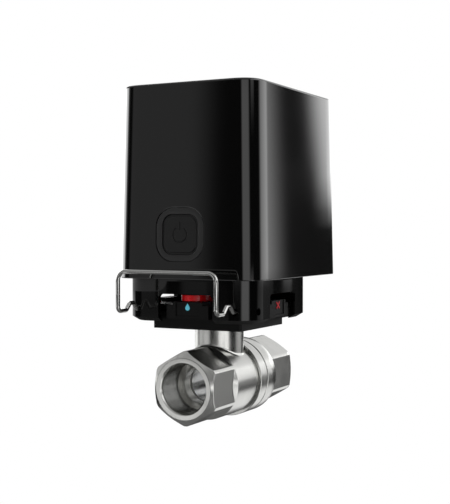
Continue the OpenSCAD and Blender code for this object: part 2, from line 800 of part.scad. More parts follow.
module lower_case() {
  foot_w = skirt_w - 2 * foot_in;
  lip_in = skirt_in - foot_lip;
  slab = 0.1;
  seal_seat_r = shaft_r + run_gap + 2 * shaft_seal_r + 2 * squeeze;
  color([0.05, 0.05, 0.05]) difference() {
    union() {
      hull() {
        round_block(foot_w, foot_w, skirt_r - foot_in, skirt_z, skirt_z + slab);
        round_block(skirt_w, skirt_w, skirt_r, foot_top, foot_top + slab);
      }
      round_block(skirt_w, skirt_w, skirt_r, foot_top, deck_z + eps);
      round_block(deck_w, deck_d, deck_r, deck_z, deck_top, case_mid);
    }
    difference() {
      union() {
        round_block(2 * lip_in, 2 * lip_in, skirt_r - skirt_wall - foot_lip, skirt_z - eps, foot_top + slab);
        round_block(2 * skirt_in, 2 * skirt_in, skirt_r - skirt_wall, foot_top, skirt_roof);
      }
      each_side() translate([ledge_half, ledge_half, block_top]) cube([skirt_half, skirt_half, skirt_roof]);
    }
    each_side() clip_holes();
    each_side([0, 1, 3]) {
      window_cut();
      scoop_cut();
    }
    each_side([2]) translate([0, window_room + rear_skin, 0]) window_cut();
    difference() {
      round_block(case_w, case_d, case_r, gasket_z, gasket_z + gasket_h, case_mid);
      round_block(deck_w - 2 * gasket_in, deck_d - 2 * gasket_in, deck_r - gasket_in,
                  gasket_z - eps, gasket_z + gasket_h + eps, case_mid);
    }
    rod_z(shaft_r + run_gap, skirt_roof - eps, deck_top + eps);
    rod_z(seal_seat_r, skirt_roof - eps, skirt_roof + shaft_seal_room);
    for (p = boss_spots) translate([p[0], p[1], 0]) {
      rod_z(cover_screw_r + screw_gap, skirt_roof - eps, deck_top + eps);
      rod_z(cover_head_r + move_gap, skirt_roof - 2, cover_head_seat);
    }
    for (p = axle_spots) translate([p[0], p[1], 0]) rod_z(axle_r, deck_top - axle_sink, deck_top + eps);
  }
}

// Outside of the housing, drawn in by the wall and stopped short of its top
module case_form(inset, top_cut) {
  top_w = case_w - 2 * case_lean - 2 * inset;
  top_d = case_d - 2 * case_lean - 2 * inset;
  bevel = inset > 0 ? 0 : case_bevel;
  z0 = inset > 0 ? case_z - eps : case_z;
  z1 = case_top - top_cut;
  hull() {
    round_block(case_w - 2 * inset, case_d - 2 * inset, case_r - inset, z0, z0 + eps, case_mid);
    round_block(top_w, top_d, case_r - inset, z1 - bevel - eps, z1 - bevel, case_mid);
    round_block(top_w - bevel, top_d - bevel, case_r - inset - bevel / 2, z1 - 0.3 * bevel - eps,
                z1 - 0.3 * bevel, case_mid);
    round_block(top_w - 2 * bevel, top_d - 2 * bevel, case_r - inset - bevel, z1 - eps, z1, case_mid);
  }
}

// Turns a shape to lie in the leaning front face about the button's centre
module on_front() {
  translate([button_x, button_face, button_z]) rotate([-lean_angle, 0, 0]) rotate([90, 0, 0]) children();
}

// Upright posts for the cover's screws, each ribbed to the wall, and studs for the circuit board
module cover_posts() {
  reach = 4 * boss_r;
  for (p = boss_spots) translate([p[0], p[1], deck_top + slip_gap]) {
    cylinder(r = boss_r, h = boss_h);
    translate([p[0] > 0 ? 0 : -reach, -boss_rib / 2, 0]) cube([reach, boss_rib, boss_h]);
  }
  for (p = board_boss_spots) translate(p) rotate([90, 0, 0]) cylinder(r = board_boss_r, h = reach);
}

module housing_cover() {
  pocket_w = bezel_w + 2 * slip_gap;
  opening_w = flange_w + flange_room;
  color([0.04, 0.04, 0.04]) difference() {
    union() {
      difference() {
        case_form(0, 0);
        case_form(case_wall, roof_t);
      }
      intersection() {
        case_form(case_wall / 5, roof_t / 2);
        cover_posts();
      }
    }
    round_block(inside_w, inside_d, deck_r, case_z - 1, deck_top + slip_gap, case_mid);
    for (p = boss_spots) translate([p[0], p[1], 0])
      rod_z(cover_screw_r + tap_gap, case_z, cover_head_seat + cover_screw_len + 1);
    for (p = board_boss_spots) translate(p + [0, eps, 0]) rotate([90, 0, 0])
      cylinder(r = board_screw_r + tap_gap, h = board_screw_len - board_t + 0.5);
    on_front() {
      translate([0, 0, -bezel_t]) linear_extrude(2 * bezel_t) round_rect(pocket_w, pocket_w, bezel_r);
      translate([0, 0, -2 * case_wall]) linear_extrude(2 * case_wall)
        round_rect(opening_w, opening_w, bezel_hole_r + flange_room);
    }
  }
}

module cover_gasket() {
  open_w = deck_w - 2 * gasket_in + 2 * slip_gap;
  open_d = deck_d - 2 * gasket_in + 2 * slip_gap;
  color("dimgray") difference() {
    round_block(inside_w - 2 * squeeze, inside_d - 2 * squeeze, deck_r,
                gasket_z + run_gap, gasket_z + gasket_h - run_gap, case_mid);
    round_block(open_w, open_d, deck_r - gasket_in, gasket_z, gasket_z + gasket_h, case_mid);
  }
}

module cover_screws() {
  color("lightgray") for (p = boss_spots) translate([p[0], p[1], cover_head_seat]) rotate([180, 0, 0])
    pan_screw(cover_screw_r, cover_screw_len, cover_head_r, cover_head_h);
}

module button_bezel() {
  color([0.09, 0.09, 0.09]) on_front() difference() {
    translate([0, 0, -bezel_t]) linear_extrude(bezel_t) round_rect(bezel_w, bezel_w, bezel_r - slip_gap);
    translate([0, 0, -2 * bezel_t]) linear_extrude(3 * bezel_t)
      round_rect(bezel_hole_w, bezel_hole_w, bezel_hole_r);
  }
}

module power_button() {
  color([0.07, 0.07, 0.07]) on_front() translate([0, 0, -button_back]) {
    linear_extrude(button_back - button_sink) round_rect(button_w, button_w, button_r);
    linear_extrude(flange_t) round_rect(flange_w, flange_w, bezel_hole_r);
  }
}

module output_shaft() {
  fork_z = handle_z + fork_gap;
  flange_z = handle_top + fork_gap;
  flange_top = skirt_roof - 0.5;
  flange_r = handle_w / 2 + fork_t;
  prong_in = handle_w / 2 + move_gap;
  flat_w = 2 * (shaft_r - flat_in);
  color("whitesmoke") difference() {
    union() {
      rod_z(flange_r, flange_z, flange_top);
      intersection() {
        rod_z(flange_r, fork_z, flange_z + eps);
        for (sx = [0, 1]) mirror([sx, 0, 0]) translate([prong_in, -fork_half, fork_z])
          cube([fork_t, 2 * fork_half, flange_z]);
      }
      rod_z(shaft_r, flange_top - eps, output_z);
      rod_z(collar_r, deck_top + move_gap, output_z);
      intersection() {
        rod_z(shaft_r, output_z - eps, output_top + 2 * ring_w);
        translate([-flat_w / 2, -shaft_r, 0]) cube([flat_w, 2 * shaft_r, case_top]);
      }
      rod_z(journal_r, output_top, chassis_top - 0.5);
    }
    difference() {
      rod_z(shaft_r + 1, output_top + slip_gap, output_top + ring_w + 2 * slip_gap);
      rod_z(ring_groove_r, output_top, output_top + 2 * ring_w);
    }
  }
}

module shaft_seal() {
  color("dimgray") ring_seal(shaft_r + run_gap + shaft_seal_r + squeeze, shaft_seal_r,
                             skirt_roof + shaft_seal_room / 2);
}

// Angle that turns a tooth gap of a gear towards a direction
function gap_towards(direction, teeth) = direction + 180 / teeth;

module output_gear() {
  hole = shaft_r + run_gap;
  flat_w = 2 * (hole - flat_in);
  color("ivory") difference() {
    gear(output_module, output_teeth, output_z, output_t, gap_towards(90, output_teeth));
    intersection() {
      rod_z(hole, output_z - eps, output_top + eps);
      translate([-flat_w / 2, -hole, 0]) cube([flat_w, 2 * hole, case_top]);
    }
    translate([0, -magnet_at, 0]) rod_z(magnet_r + tap_gap, output_top - magnet_t, output_top + eps);
  }
}

module gear_clip() {
  low = output_top + slip_gap + run_gap;
  mouth = 5;
  color("silver") difference() {
    rod_z(shaft_r + 1.6, low, low + ring_w);
    rod_z(ring_groove_r + run_gap, low - eps, low + ring_w + eps);
    translate([-mouth / 2, 0, low - 1]) cube([mouth, 2 * shaft_r, ring_w + 2]);
  }
}

module position_magnet() {
  color("silver") translate([0, -magnet_at, 0]) rod_z(magnet_r, output_top - magnet_t, output_top);
}

module second_gear() {
  color("ivory") translate([second_at[0], second_at[1], 0]) difference() {
    union() {
      gear(output_module, pinion_teeth, output_z - overhang, output_t + 2 * overhang, -90);
      gear(second_module, second_teeth, second_z, second_t, gap_towards(second_dir, second_teeth));
      rod_z(hub_r, deck_top + move_gap, chassis_z - move_gap);
    }
    rod_z(axle_r + run_gap, deck_top, chassis_z);
  }
}

module first_gear() {
  color("ivory") translate([first_at[0], first_at[1], 0]) difference() {
    union() {
      gear(second_module, pinion_teeth, second_z - overhang, second_t + 2 * overhang, second_dir + 180);
      gear(first_module, first_teeth, first_z, first_t, gap_towards(motor_dir, first_teeth));
      rod_z(hub_r, deck_top + move_gap, chassis_z - move_gap);
    }
    rod_z(axle_r + run_gap, deck_top, chassis_z);
  }
}

// Steel pin from the deck up into the chassis plate
module axle_pin(at) {
  color("silver") translate([at[0], at[1], 0]) rod_z(axle_r - press_gap, deck_top - axle_sink, chassis_top);
}

module second_axle() {
  axle_pin(second_at);
}

module first_axle() {
  axle_pin(first_at);
}

module motor_pinion() {
  color("goldenrod") translate([motor_at[0], motor_at[1], 0]) difference() {
    gear(first_module, motor_teeth, first_z - overhang, first_t + 2 * overhang, motor_dir + 180);
    rod_z(motor_shaft_r + press_gap, first_z - 1, first_z + first_t + 1);
  }
}

module motor_shaft() {
  color("silver") translate([motor_at[0], motor_at[1], 0]) rod_z(motor_shaft_r, first_z - 1, motor_top + 2);
}

module motor_case() {
  color("lightgray") difference() {
    translate([motor_at[0], motor_at[1], 0]) {
      rod_z(motor_r, chassis_top, motor_top);
      rod_z(motor_nose_r, chassis_z + 0.5, chassis_top + eps);
      rod_z(motor_nose_r + 1, motor_top - eps, motor_top + 1.5);
    }
    translate([motor_at[0], motor_at[1], 0]) rod_z(motor_shaft_r + run_gap, chassis_z, motor_top + 2);
    for (p = motor_screw_spots) translate([p[0], p[1], 0])
      rod_z(motor_screw_r + tap_gap, chassis_top - eps, chassis_top + 4);
  }
}

module motor_screws() {
  color("lightgray") for (p = motor_screw_spots) translate([p[0], p[1], chassis_z]) rotate([180, 0, 0])
    pan_screw(motor_screw_r, chassis_t + 3, small_head_r, small_head_h);
}

module chassis_pillars() {
  color("goldenrod") for (p = pillar_spots) translate([p[0], p[1], 0]) difference() {
    rod_z(pillar_r, deck_top, chassis_z);
    rod_z(pillar_screw_r + tap_gap, chassis_top - pillar_screw_len - 1, chassis_z + eps);
  }
}

// Round hole through the chassis plate
module chassis_hole(at, r) {
  translate([at[0], at[1], 0]) rod_z(r, chassis_z - eps, chassis_top + eps);
}

module chassis_plate() {
  color("darkslategray") difference() {
    translate([-chassis_half, chassis_front, chassis_z])
      cube([2 * chassis_half, chassis_rear - chassis_front, chassis_t]);
    chassis_hole([0, 0], journal_r + run_gap);
    for (p = axle_spots) chassis_hole(p, axle_r);
    for (p = pillar_spots) chassis_hole(p, pillar_screw_r + move_gap);
    for (p = motor_screw_spots) chassis_hole(p, motor_screw_r + move_gap);
    chassis_hole(motor_at, motor_nose_r + slip_gap);
  }
}

module chassis_screws() {
  color("lightgray") for (p = pillar_spots) translate([p[0], p[1], chassis_top])
    pan_screw(pillar_screw_r, pillar_screw_len, pillar_head_r, pillar_head_h);
}

module battery_tray() {
  inside = 2 * (tray_half - tray_wall);
  color([0.12, 0.12, 0.13]) translate([0, tray_y, 0]) {
    difference() {
      translate([-tray_half, -tray_half, chassis_top]) cube([2 * tray_half, 2 * tray_half, tray_h]);
      translate([-inside / 2, -inside / 2, cell_z]) cube([inside, inside, tray_h]);
    }
    for (k = [0:3]) rotate(90 * k) translate([tray_half - tray_post, tray_half - tray_post, cell_z - eps])
      cube([tray_post, tray_post, cell_len + eps]);
  }
}

module battery_cells() {
  color("steelblue") for (sx = [-0.5, 0.5], sy = [-0.5, 0.5])
    translate([sx * cell_pitch, tray_y + sy * cell_pitch, 0]) {
      rod_z(cell_r, cell_z, cell_top - cell_cap_h);
      rod_z(cell_cap_r, cell_top - cell_cap_h - eps, cell_top);
    }
}

module contact_board() {
  color("darkgreen") translate([-tray_half, tray_y - tray_half, cell_top])
    cube([2 * tray_half, 2 * tray_half, contact_t]);
}

module circuit_board() {
  color("darkgreen") difference() {
    translate([-board_half, board_front, board_low]) cube([2 * board_half, board_t, board_high - board_low]);
    for (p = board_boss_spots) translate(p - [0, eps, 0]) rotate([-90, 0, 0])
      cylinder(r = board_screw_r + move_gap, h = board_t + 2 * eps);
  }
}

module touch_switch() {
  color("dimgray") translate([button_x, switch_face, button_z]) {
    translate([-switch_w / 2, 0, -switch_w / 2]) cube([switch_w, switch_h, switch_w]);
    rotate([90, 0, 0]) translate([0, 0, -eps]) cylinder(r = switch_nub_r, h = switch_face - switch_tip + eps);
  }
}

module radio_module() {
  color("silver") translate([-radio_w / 2, board_front - radio_t, board_high - radio_h - 8])
    cube([radio_w, radio_t, radio_h]);
}

module board_screws() {
  color("lightgray") for (p = board_boss_spots) translate(p + [0, board_t, 0]) rotate([-90, 0, 0])
    pan_screw(board_screw_r, board_screw_len, small_head_r, small_head_h);
}

valve_body();
end_connector();
joint_seal();
ball();
ball_seats();
stem();
stem_o_rings();
thrust_washer();
mount_plate();
lock_nut();
open_signs();
closed_signs();
manual_handle();
handle_screw();
retaining_clip();
lower_case();
housing_cover();
cover_gasket();
cover_screws();
button_bezel();
power_button();
output_shaft();
shaft_seal();
output_gear();
gear_clip();
position_magnet();
second_gear();
second_axle();
first_gear();
first_axle();
motor_pinion();
motor_shaft();
motor_case();
motor_screws();
chassis_pillars();
chassis_plate();
chassis_screws();
battery_tray();
battery_cells();
contact_board();
circuit_board();
touch_switch();
radio_module();
board_screws();
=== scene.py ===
import bmesh
import bpy
import numpy as np
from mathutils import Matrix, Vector


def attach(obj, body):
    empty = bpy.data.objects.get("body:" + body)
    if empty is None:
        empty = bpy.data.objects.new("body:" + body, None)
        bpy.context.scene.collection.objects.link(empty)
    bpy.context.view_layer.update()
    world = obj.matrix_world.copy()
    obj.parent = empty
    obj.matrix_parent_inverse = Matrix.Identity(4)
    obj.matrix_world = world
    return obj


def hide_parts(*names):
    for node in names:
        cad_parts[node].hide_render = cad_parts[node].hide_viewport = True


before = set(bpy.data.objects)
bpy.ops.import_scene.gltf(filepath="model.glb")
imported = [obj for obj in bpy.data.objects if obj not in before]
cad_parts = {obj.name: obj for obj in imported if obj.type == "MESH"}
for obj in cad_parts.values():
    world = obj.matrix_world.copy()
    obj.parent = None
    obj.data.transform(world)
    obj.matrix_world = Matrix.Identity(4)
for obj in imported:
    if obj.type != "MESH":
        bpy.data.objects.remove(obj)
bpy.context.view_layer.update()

scene = bpy.context.scene
scene.view_settings.view_transform = "Standard"


# sRGB hex to linear: the low end is a straight line, the rest a 2.4 power
def linearColour(hexText):
    srgb = np.array([int(hexText[i:i + 2], 16) for i in (1, 3, 5)]) / 255
    linear = np.where(srgb <= 0.04045, srgb / 12.92, ((srgb + 0.055) / 1.055) ** 2.4)
    return (*[float(c) for c in linear], 1.0)


# One node: settings are its properties, sockets its inputs, each a value or another node's output
def addNode(tree, kind, sockets=None, **settings):
    node = tree.nodes.new(kind)
    for name, value in settings.items():
        setattr(node, name, value)
    for socket, value in (sockets or {}).items():
        if isinstance(value, bpy.types.NodeSocket):
            tree.links.new(value, node.inputs[socket])
        else:
            node.inputs[socket].default_value = value
    return node


def newMaterial(name):
    material = bpy.data.materials.new(name)
    material.use_nodes = True
    tree = material.node_tree
    tree.nodes.clear()
    return material, tree


# Closes a material: the shader goes to the surface
def output(tree, shader):
    addNode(tree, "ShaderNodeOutputMaterial", {"Surface": shader.outputs[0]})


def objectPlace(tree):
    return addNode(tree, "ShaderNodeTexCoord").outputs["Object"]


# Noise with lumps of about the given size at a place in metres
def lumps(tree, place, sizeMm, detail, **more):
    return addNode(tree, "ShaderNodeTexNoise",
                   {"Vector": place, "Scale": 1000 / sizeMm, "Detail": detail, **more}).outputs["Fac"]


# Spreads a value's span over another one
def spread(tree, value, span, target):
    return addNode(tree, "ShaderNodeMapRange",
                   {"Value": value, "From Min": span[0], "From Max": span[1],
                    "To Min": target[0], "To Max": target[1]}).outputs["Result"]


# Colour and bump that follow one noise: its low parts are darker and sunk
def grained(tree, colour, noise, span, tones, depthMm):
    shade = addNode(tree, "ShaderNodeVectorMath",
                    {0: linearColour(colour)[:3], "Scale": spread(tree, noise, span, tones)},
                    operation="SCALE")
    bump = addNode(tree, "ShaderNodeBump",
                   {"Height": noise, "Strength": 1.0, "Distance": depthMm / 1000})
    return {"Base Color": shade.outputs["Vector"], "Normal": bump.outputs["Normal"]}


# Moulded thermoplastic: an even colour with a fine skin from the mould, and gloss that drifts a
# little with the melt's flow
moulded = {"flowMm": 40, "flowSpan": (0.3, 0.7), "skinSpan": (0.25, 0.75), "tones": (0.94, 1.06),
           "coatRoughness": 0.04, "downSpan": (-0.7, -0.4), "downRoughness": 0.7}


def mouldedPlastic(name, colour, roughness, skinMm, skinDepthMm, drift=0.04, ior=1.5, coat=0.0,
                   mattBelow=False):
    m = moulded
    material, tree = newMaterial(name)
    place = objectPlace(tree)
    skin = lumps(tree, place, skinMm, 3.0, Roughness=0.55)
    flow = lumps(tree, place, m["flowMm"], 2.0)
    gloss = spread(tree, flow, m["flowSpan"], (roughness - drift, roughness + drift))
    if mattBelow:  # faces that look down come from the spark-eroded half of the mould
        normal = addNode(tree, "ShaderNodeNewGeometry").outputs["Normal"]
        upward = addNode(tree, "ShaderNodeSeparateXYZ", {"Vector": normal}).outputs["Z"]
        extra = spread(tree, upward, m["downSpan"], (m["downRoughness"], 0.0))
        gloss = addNode(tree, "ShaderNodeMath", {0: gloss, 1: extra}, operation="ADD").outputs[0]
    grain = grained(tree, colour, skin, m["skinSpan"], m["tones"], skinDepthMm)
    output(tree, addNode(tree, "ShaderNodeBsdfPrincipled",
                         {**grain, "Roughness": gloss, "IOR": ior, "Coat Weight": coat,
                          "Coat Roughness": m["coatRoughness"]}))
    return material


# Metal worked along one axis: fine lines across that axis, and a cloudy gloss from handling
worked = {"cloudMm": 9, "span": (0.3, 0.7), "tones": (0.95, 1.04)}


def workedMetal(name, colour, roughness, lineMm, lineDepthMm, stretch, drift=0.05):
    m = worked
    material, tree = newMaterial(name)
    place = objectPlace(tree)
    lay = addNode(tree, "ShaderNodeMapping",
                  {"Vector": place, "Scale": tuple(s * 1000 / lineMm for s in stretch)})
    lines = addNode(tree, "ShaderNodeTexNoise",
                    {"Vector": lay.outputs["Vector"], "Scale": 1.0, "Detail": 2.0}).outputs["Fac"]
    cloud = lumps(tree, place, m["cloudMm"], 3.0)
    gloss = spread(tree, cloud, m["span"], (roughness - drift, roughness + drift))
    grain = grained(tree, colour, lines, m["span"], m["tones"], lineDepthMm)
    output(tree, addNode(tree, "ShaderNodeBsdfPrincipled",
                         {**grain, "Metallic": 1.0, "Roughness": gloss}))
    return material


# Lay of a metal's lines: how fast they change along x, y and z
roundPipe, alongStem = (0.02, 1.0, 0.02), (0.02, 0.02, 1.0)
alongWire, noLay = (1.0, 0.08, 0.08), (1.0, 1.0, 1.0)

# Each finish is named for the material and how it was made. Plastics: colour, roughness, size and
# depth of the skin in mm, drift of the gloss. Metals: the same with the lines, and their lay
finishes = {
    # ABS from a polished mould under a clear hard coat: deep black with strong, clear reflections
    "glossAbs": mouldedPlastic("hard_coated_abs_black", "#030303", 0.045, 3.0, 0.0002, 0.01,
                               coat=1.0),
    # the same ABS from a less polished tool: reflections blur sooner
    "satinAbs": mouldedPlastic("satin_mould_abs_black", "#040404", 0.07, 1.6, 0.0003, 0.02,
                               mattBelow=True),
    # spark-eroded tool: a fine matt grain that scatters light
    "sparkNylon": mouldedPlastic("spark_textured_nylon_black", "#070707", 0.5, 0.5, 0.006, 0.06,
                                 ior=1.34),
    # blasted tools: an even dark grey sheen with no clear reflection
    "bezelAbs": mouldedPlastic("fine_matt_abs_black", "#222222", 0.38, 0.5, 0.002),
    "buttonAbs": mouldedPlastic("matt_abs_button_black", "#151515", 0.34, 0.5, 0.002),
    # dense acetal from a polished tool: a full red with soft highlights
    "redPom": mouldedPlastic("glossy_acetal_red", "#ec1820", 0.2, 0.9, 0.0012, 0.03),
    # pad-printed ink: flat colour, a little dull
    "dropInk": mouldedPlastic("pad_printed_ink_cyan", "#5ab9cd", 0.42, 0.3, 0.002, 0.05),
    "crossInk": mouldedPlastic("pad_printed_ink_red", "#c8202c", 0.42, 0.3, 0.002, 0.05),
    # cut from waxy bar: a white with hardly any shine
    "ptfe": mouldedPlastic("machined_ptfe_white", "#e6e6e1", 0.5, 0.4, 0.003, 0.06, ior=1.35),
    # moulded rubber: dull, nearly black
    "rubber": mouldedPlastic("moulded_nbr_rubber_black", "#1a1a1a", 0.62, 0.3, 0.004, 0.08),
    # gears of natural acetal: ivory with a low sheen
    "acetal": mouldedPlastic("moulded_acetal_ivory", "#e4dcc3", 0.36, 0.6, 0.002, 0.05, ior=1.48),
    # glass fibres at the skin: a dry grey
    "glassNylon": mouldedPlastic("glass_filled_nylon_grey", "#34373a", 0.55, 0.35, 0.006, 0.08),
    # film shrunk over the cell: blue with long, wavy highlights
    "cellSleeve": mouldedPlastic("shrink_sleeve_pvc_blue", "#2f5f97", 0.28, 2.4, 0.004),
    # lacquer over copper and glass cloth: a green with a light gloss
    "solderMask": mouldedPlastic("solder_mask_on_laminate_green", "#1d5f38", 0.3, 0.5, 0.004, 0.05),
    # brass under bright nickel: turned lines run round the pipe, warm grey
    "nickel": workedMetal("turned_brass_nickel_plated", "#dededb", 0.24, 0.35, 0.0004, roundPipe,
                          0.03),
    # lathe-turned and left bare: yellow with fine rings
    "bareBrass": workedMetal("turned_brass_bare", "#c8a15a", 0.28, 0.3, 0.0008, alongStem),
    # lapped and chromed: close to a mirror
    "chrome": workedMetal("polished_chrome_ball", "#dcdde0", 0.08, 0.8, 0.0002, noLay, 0.02),
    # drawn through a die: bright, with faint lines along the wire
    "wireSteel": workedMetal("drawn_stainless_wire", "#cdcdcb", 0.09, 0.25, 0.0003, alongWire, 0.02),
    # thin zinc on stamped steel: a pale, slightly milky grey
    "zincSteel": workedMetal("zinc_plated_steel", "#b4b6b8", 0.34, 0.5, 0.001, (1.0, 1.0, 0.3)),
    # ground pins: bright with fine rings
    "groundSteel": workedMetal("ground_steel_pin", "#b8b8ba", 0.22, 0.2, 0.0006, (0.05, 0.05, 1.0)),
    # tinned sheet: a soft grey shine
    "tinnedSheet": workedMetal("tinned_steel_sheet", "#bcbdbd", 0.3, 1.2, 0.0008, noLay),
}
print("finishes: %d" % len(finishes))

meshRules = {"merge": 2e-6, "slim": 1e-7, "flatDeg": 0.6, "sharpDeg": 32, "faceWeight": 80}
quarterBend = np.radians([0, 22.5, 45, 67.5, 90])


# Smooth step of x from 0 at low to 1 at high
def ease(x, low, high):
    t = np.clip((x - low) / (high - low), 0, 1)
    return t * t * (3 - 2 * t)


# Evenly spaced angles of a full turn
def turnAngles(steps):
    return np.linspace(0, 2 * np.pi, steps, endpoint=False)


# Quads of a grid with the given rows and columns; closed joins the last column to the first
def gridFaces(rows, cols, start=0, closed=True):
    j, i = np.meshgrid(np.arange(rows - 1), np.arange(cols if closed else cols - 1), indexing="ij")
    nxt = (i + 1) % cols
    quads = np.stack([j * cols + i, j * cols + nxt, (j + 1) * cols + nxt, (j + 1) * cols + i], axis=-1)
    return quads.reshape(-1, 4) + start


# Joins sheets of points (each rows x columns x 3, in mm) to one mesh, and merges the points they
# share; drop lists the cells that are left out of a sheet
def makePiece(name, sheets, finish, body, replaced, sharpDeg, drop=()):
    points = np.concatenate([s.reshape(-1, 3) for s in sheets]) / 1000
    starts = np.cumsum([0] + [s.shape[0] * s.shape[1] for s in sheets])
    faces = [gridFaces(s.shape[0], s.shape[1], starts[k]) for k, s in enumerate(sheets)]
    for k, cells in drop:
        faces[k] = np.delete(faces[k], cells, axis=0)
    mesh = bpy.data.meshes.new(name)
    mesh.from_pydata(points.tolist(), [], np.concatenate(faces).tolist())
    work = bmesh.new()
    work.from_mesh(mesh)
    bmesh.ops.remove_doubles(work, verts=work.verts, dist=meshRules["merge"])
    bmesh.ops.dissolve_degenerate(work, edges=work.edges, dist=meshRules["slim"])
    work.to_mesh(mesh)
    work.free()
    return finishPiece(name, mesh, finish, body, replaced, sharpDeg)


def finishPiece(name, mesh, finish, body, replaced, sharpDeg):
    mesh.polygons.foreach_set("use_smooth", np.ones(len(mesh.polygons), dtype=bool))
    mesh.set_sharp_from_angle(angle=np.radians(sharpDeg))
    mesh.materials.clear()
    mesh.materials.append(finishes[finish])
    piece = bpy.data.objects.new(name, mesh)
    scene.collection.objects.link(piece)
    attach(piece, body)
    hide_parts(replaced)
    print("piece %s: %d faces" % (name, len(mesh.polygons)))
    return piece


# A copy of a CAD node's mesh, merged to one skin, flat faces joined again, its edges rounded
def softenedCopy(name, node, finish, body, edgeMm, segments=2):
    work = bmesh.new()
    work.from_mesh(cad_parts[node].data)
    bmesh.ops.remove_doubles(work, verts=work.verts, dist=meshRules["merge"])
    bmesh.ops.dissolve_limit(work, angle_limit=np.radians(meshRules["flatDeg"]),
                             verts=work.verts, edges=work.edges)
    mesh = bpy.data.meshes.new(name)
    work.to_mesh(mesh)
    work.free()
    piece = finishPiece(name, mesh, finish, body, node, meshRules["sharpDeg"])
    bevel = piece.modifiers.new("edges", "BEVEL")
    bevel.width = edgeMm / 1000
    bevel.segments = segments
    bevel.limit_method = "ANGLE"
    bevel.angle_limit = np.radians(meshRules["sharpDeg"])
    bevel.use_clamp_overlap = True
    # large faces stay flat beside the small bevels
    weighted = piece.modifiers.new("flat_faces", "WEIGHTED_NORMAL")
    weighted.mode = "FACE_AREA"
    weighted.weight = meshRules["faceWeight"]
    weighted.keep_sharp = True
    return piece


# Distance from the centre to a round-cornered square's edge in each direction (a, b of length 1)
def roundSquareReach(a, b, half, corner):
    a, b, c = np.abs(a), np.abs(b), half - corner
    flat = half / np.maximum(a, b)
    along = c * (a + b)
    arc = along + np.sqrt(np.maximum(along ** 2 - 2 * c * c + corner ** 2, 0))
    return np.where(flat * np.minimum(a, b) <= c, flat, arc)


# Corner whose curvature rises and falls as a raised cosine: its heading is the integral of that,
# and the curve the integral of the heading
def flowingCorner(count):
    t = np.linspace(0, 1, 2001)
    heading = np.pi / 2 * (t - np.sin(2 * np.pi * t) / (2 * np.pi))
    x = np.concatenate([[0], np.cumsum((np.cos(heading[1:]) + np.cos(heading[:-1])) / 2)])
    y = np.concatenate([[0], np.cumsum((np.sin(heading[1:]) + np.sin(heading[:-1])) / 2)])
    at = np.linspace(0, 1, count)
    return np.stack([np.interp(at, t, x / x[-1]), np.interp(at, t, y / y[-1])], axis=-1)


# Housing cover: a closed shell whose outline shrinks upwards, its corners flowing into the flats.
# A block of its front wall gives way to the button's pocket
cover = {"width": 78.5, "depth": 106.0, "front": -38.5, "foot": 53.0, "height": 95.5, "lean": 1.7,
         "corner": 15.4, "cornerInset": 0.6, "cornerSteps": 36, "sideSteps": 8,
         "wall": 2.5, "roof": 2.8, "edge": 1.0, "footRound": 0.3, "footFlat": 0.15, "browFlat": 0.2,
         "firstRow": 1.5, "upperFrom": 98.0, "upperEnd": 6.0, "upperRows": 5,
         "buttonX": -1.5, "buttonZ": 74.7, "blockSide": 16.0, "blockRise": 15.5, "blockRows": 25,
         "frontEnd": 0.8, "pocketHalf": 13.1, "pocketCorner": 9.5, "pocketDepth": 1.4,
         "pocketFlat": 0.45, "pocketRound": 0.25, "pocketMid": 0.07,
         "openHalf": 11.4, "openCorner": 7.4}
frontTilt = np.arctan(cover["lean"] / cover["height"])


# Places (a, b, out) of the leaning front face about the button: across, up and out of the face
def onFront(a, b, out):
    faceY = cover["front"] + cover["lean"] / cover["height"] * (cover["buttonZ"] - cover["foot"])
    y = faceY + b * np.sin(frontTilt) - out * np.cos(frontTilt)
    z = cover["buttonZ"] + b * np.cos(frontTilt) + out * np.sin(frontTilt)
    return np.stack(np.broadcast_arrays(cover["buttonX"] + a, y, z), axis=-1)


# One outline of the housing: four straight sides and four flowing corners, counter-clockwise
# from the front left
def coverOutline(halfW, halfD, corner, frontAt):
    turn = flowingCorner(cover["cornerSteps"])[:-1] * corner
    side = np.linspace(0, 1, cover["sideSteps"] + 1)[:-1]
    quarter = np.array([[0, -1], [1, 0]])

    def sideAndCorner(xs, half, across):
        straight = np.stack([xs, np.full(len(xs), -across)], axis=-1)
        return np.concatenate([straight, turn + [half - corner, -across]])
    longSide = (2 * side - 1) * (halfD - corner)
    shortSide = (2 * side - 1) * (halfW - corner)
    front = sideAndCorner(frontAt * (halfW - corner), halfW, halfD)
    right = sideAndCorner(longSide, halfD, halfW) @ quarter.T
    back = -sideAndCorner(shortSide, halfW, halfD)
    left = -sideAndCorner(longSide, halfD, halfW) @ quarter.T
    return np.concatenate([front, right, back, left])


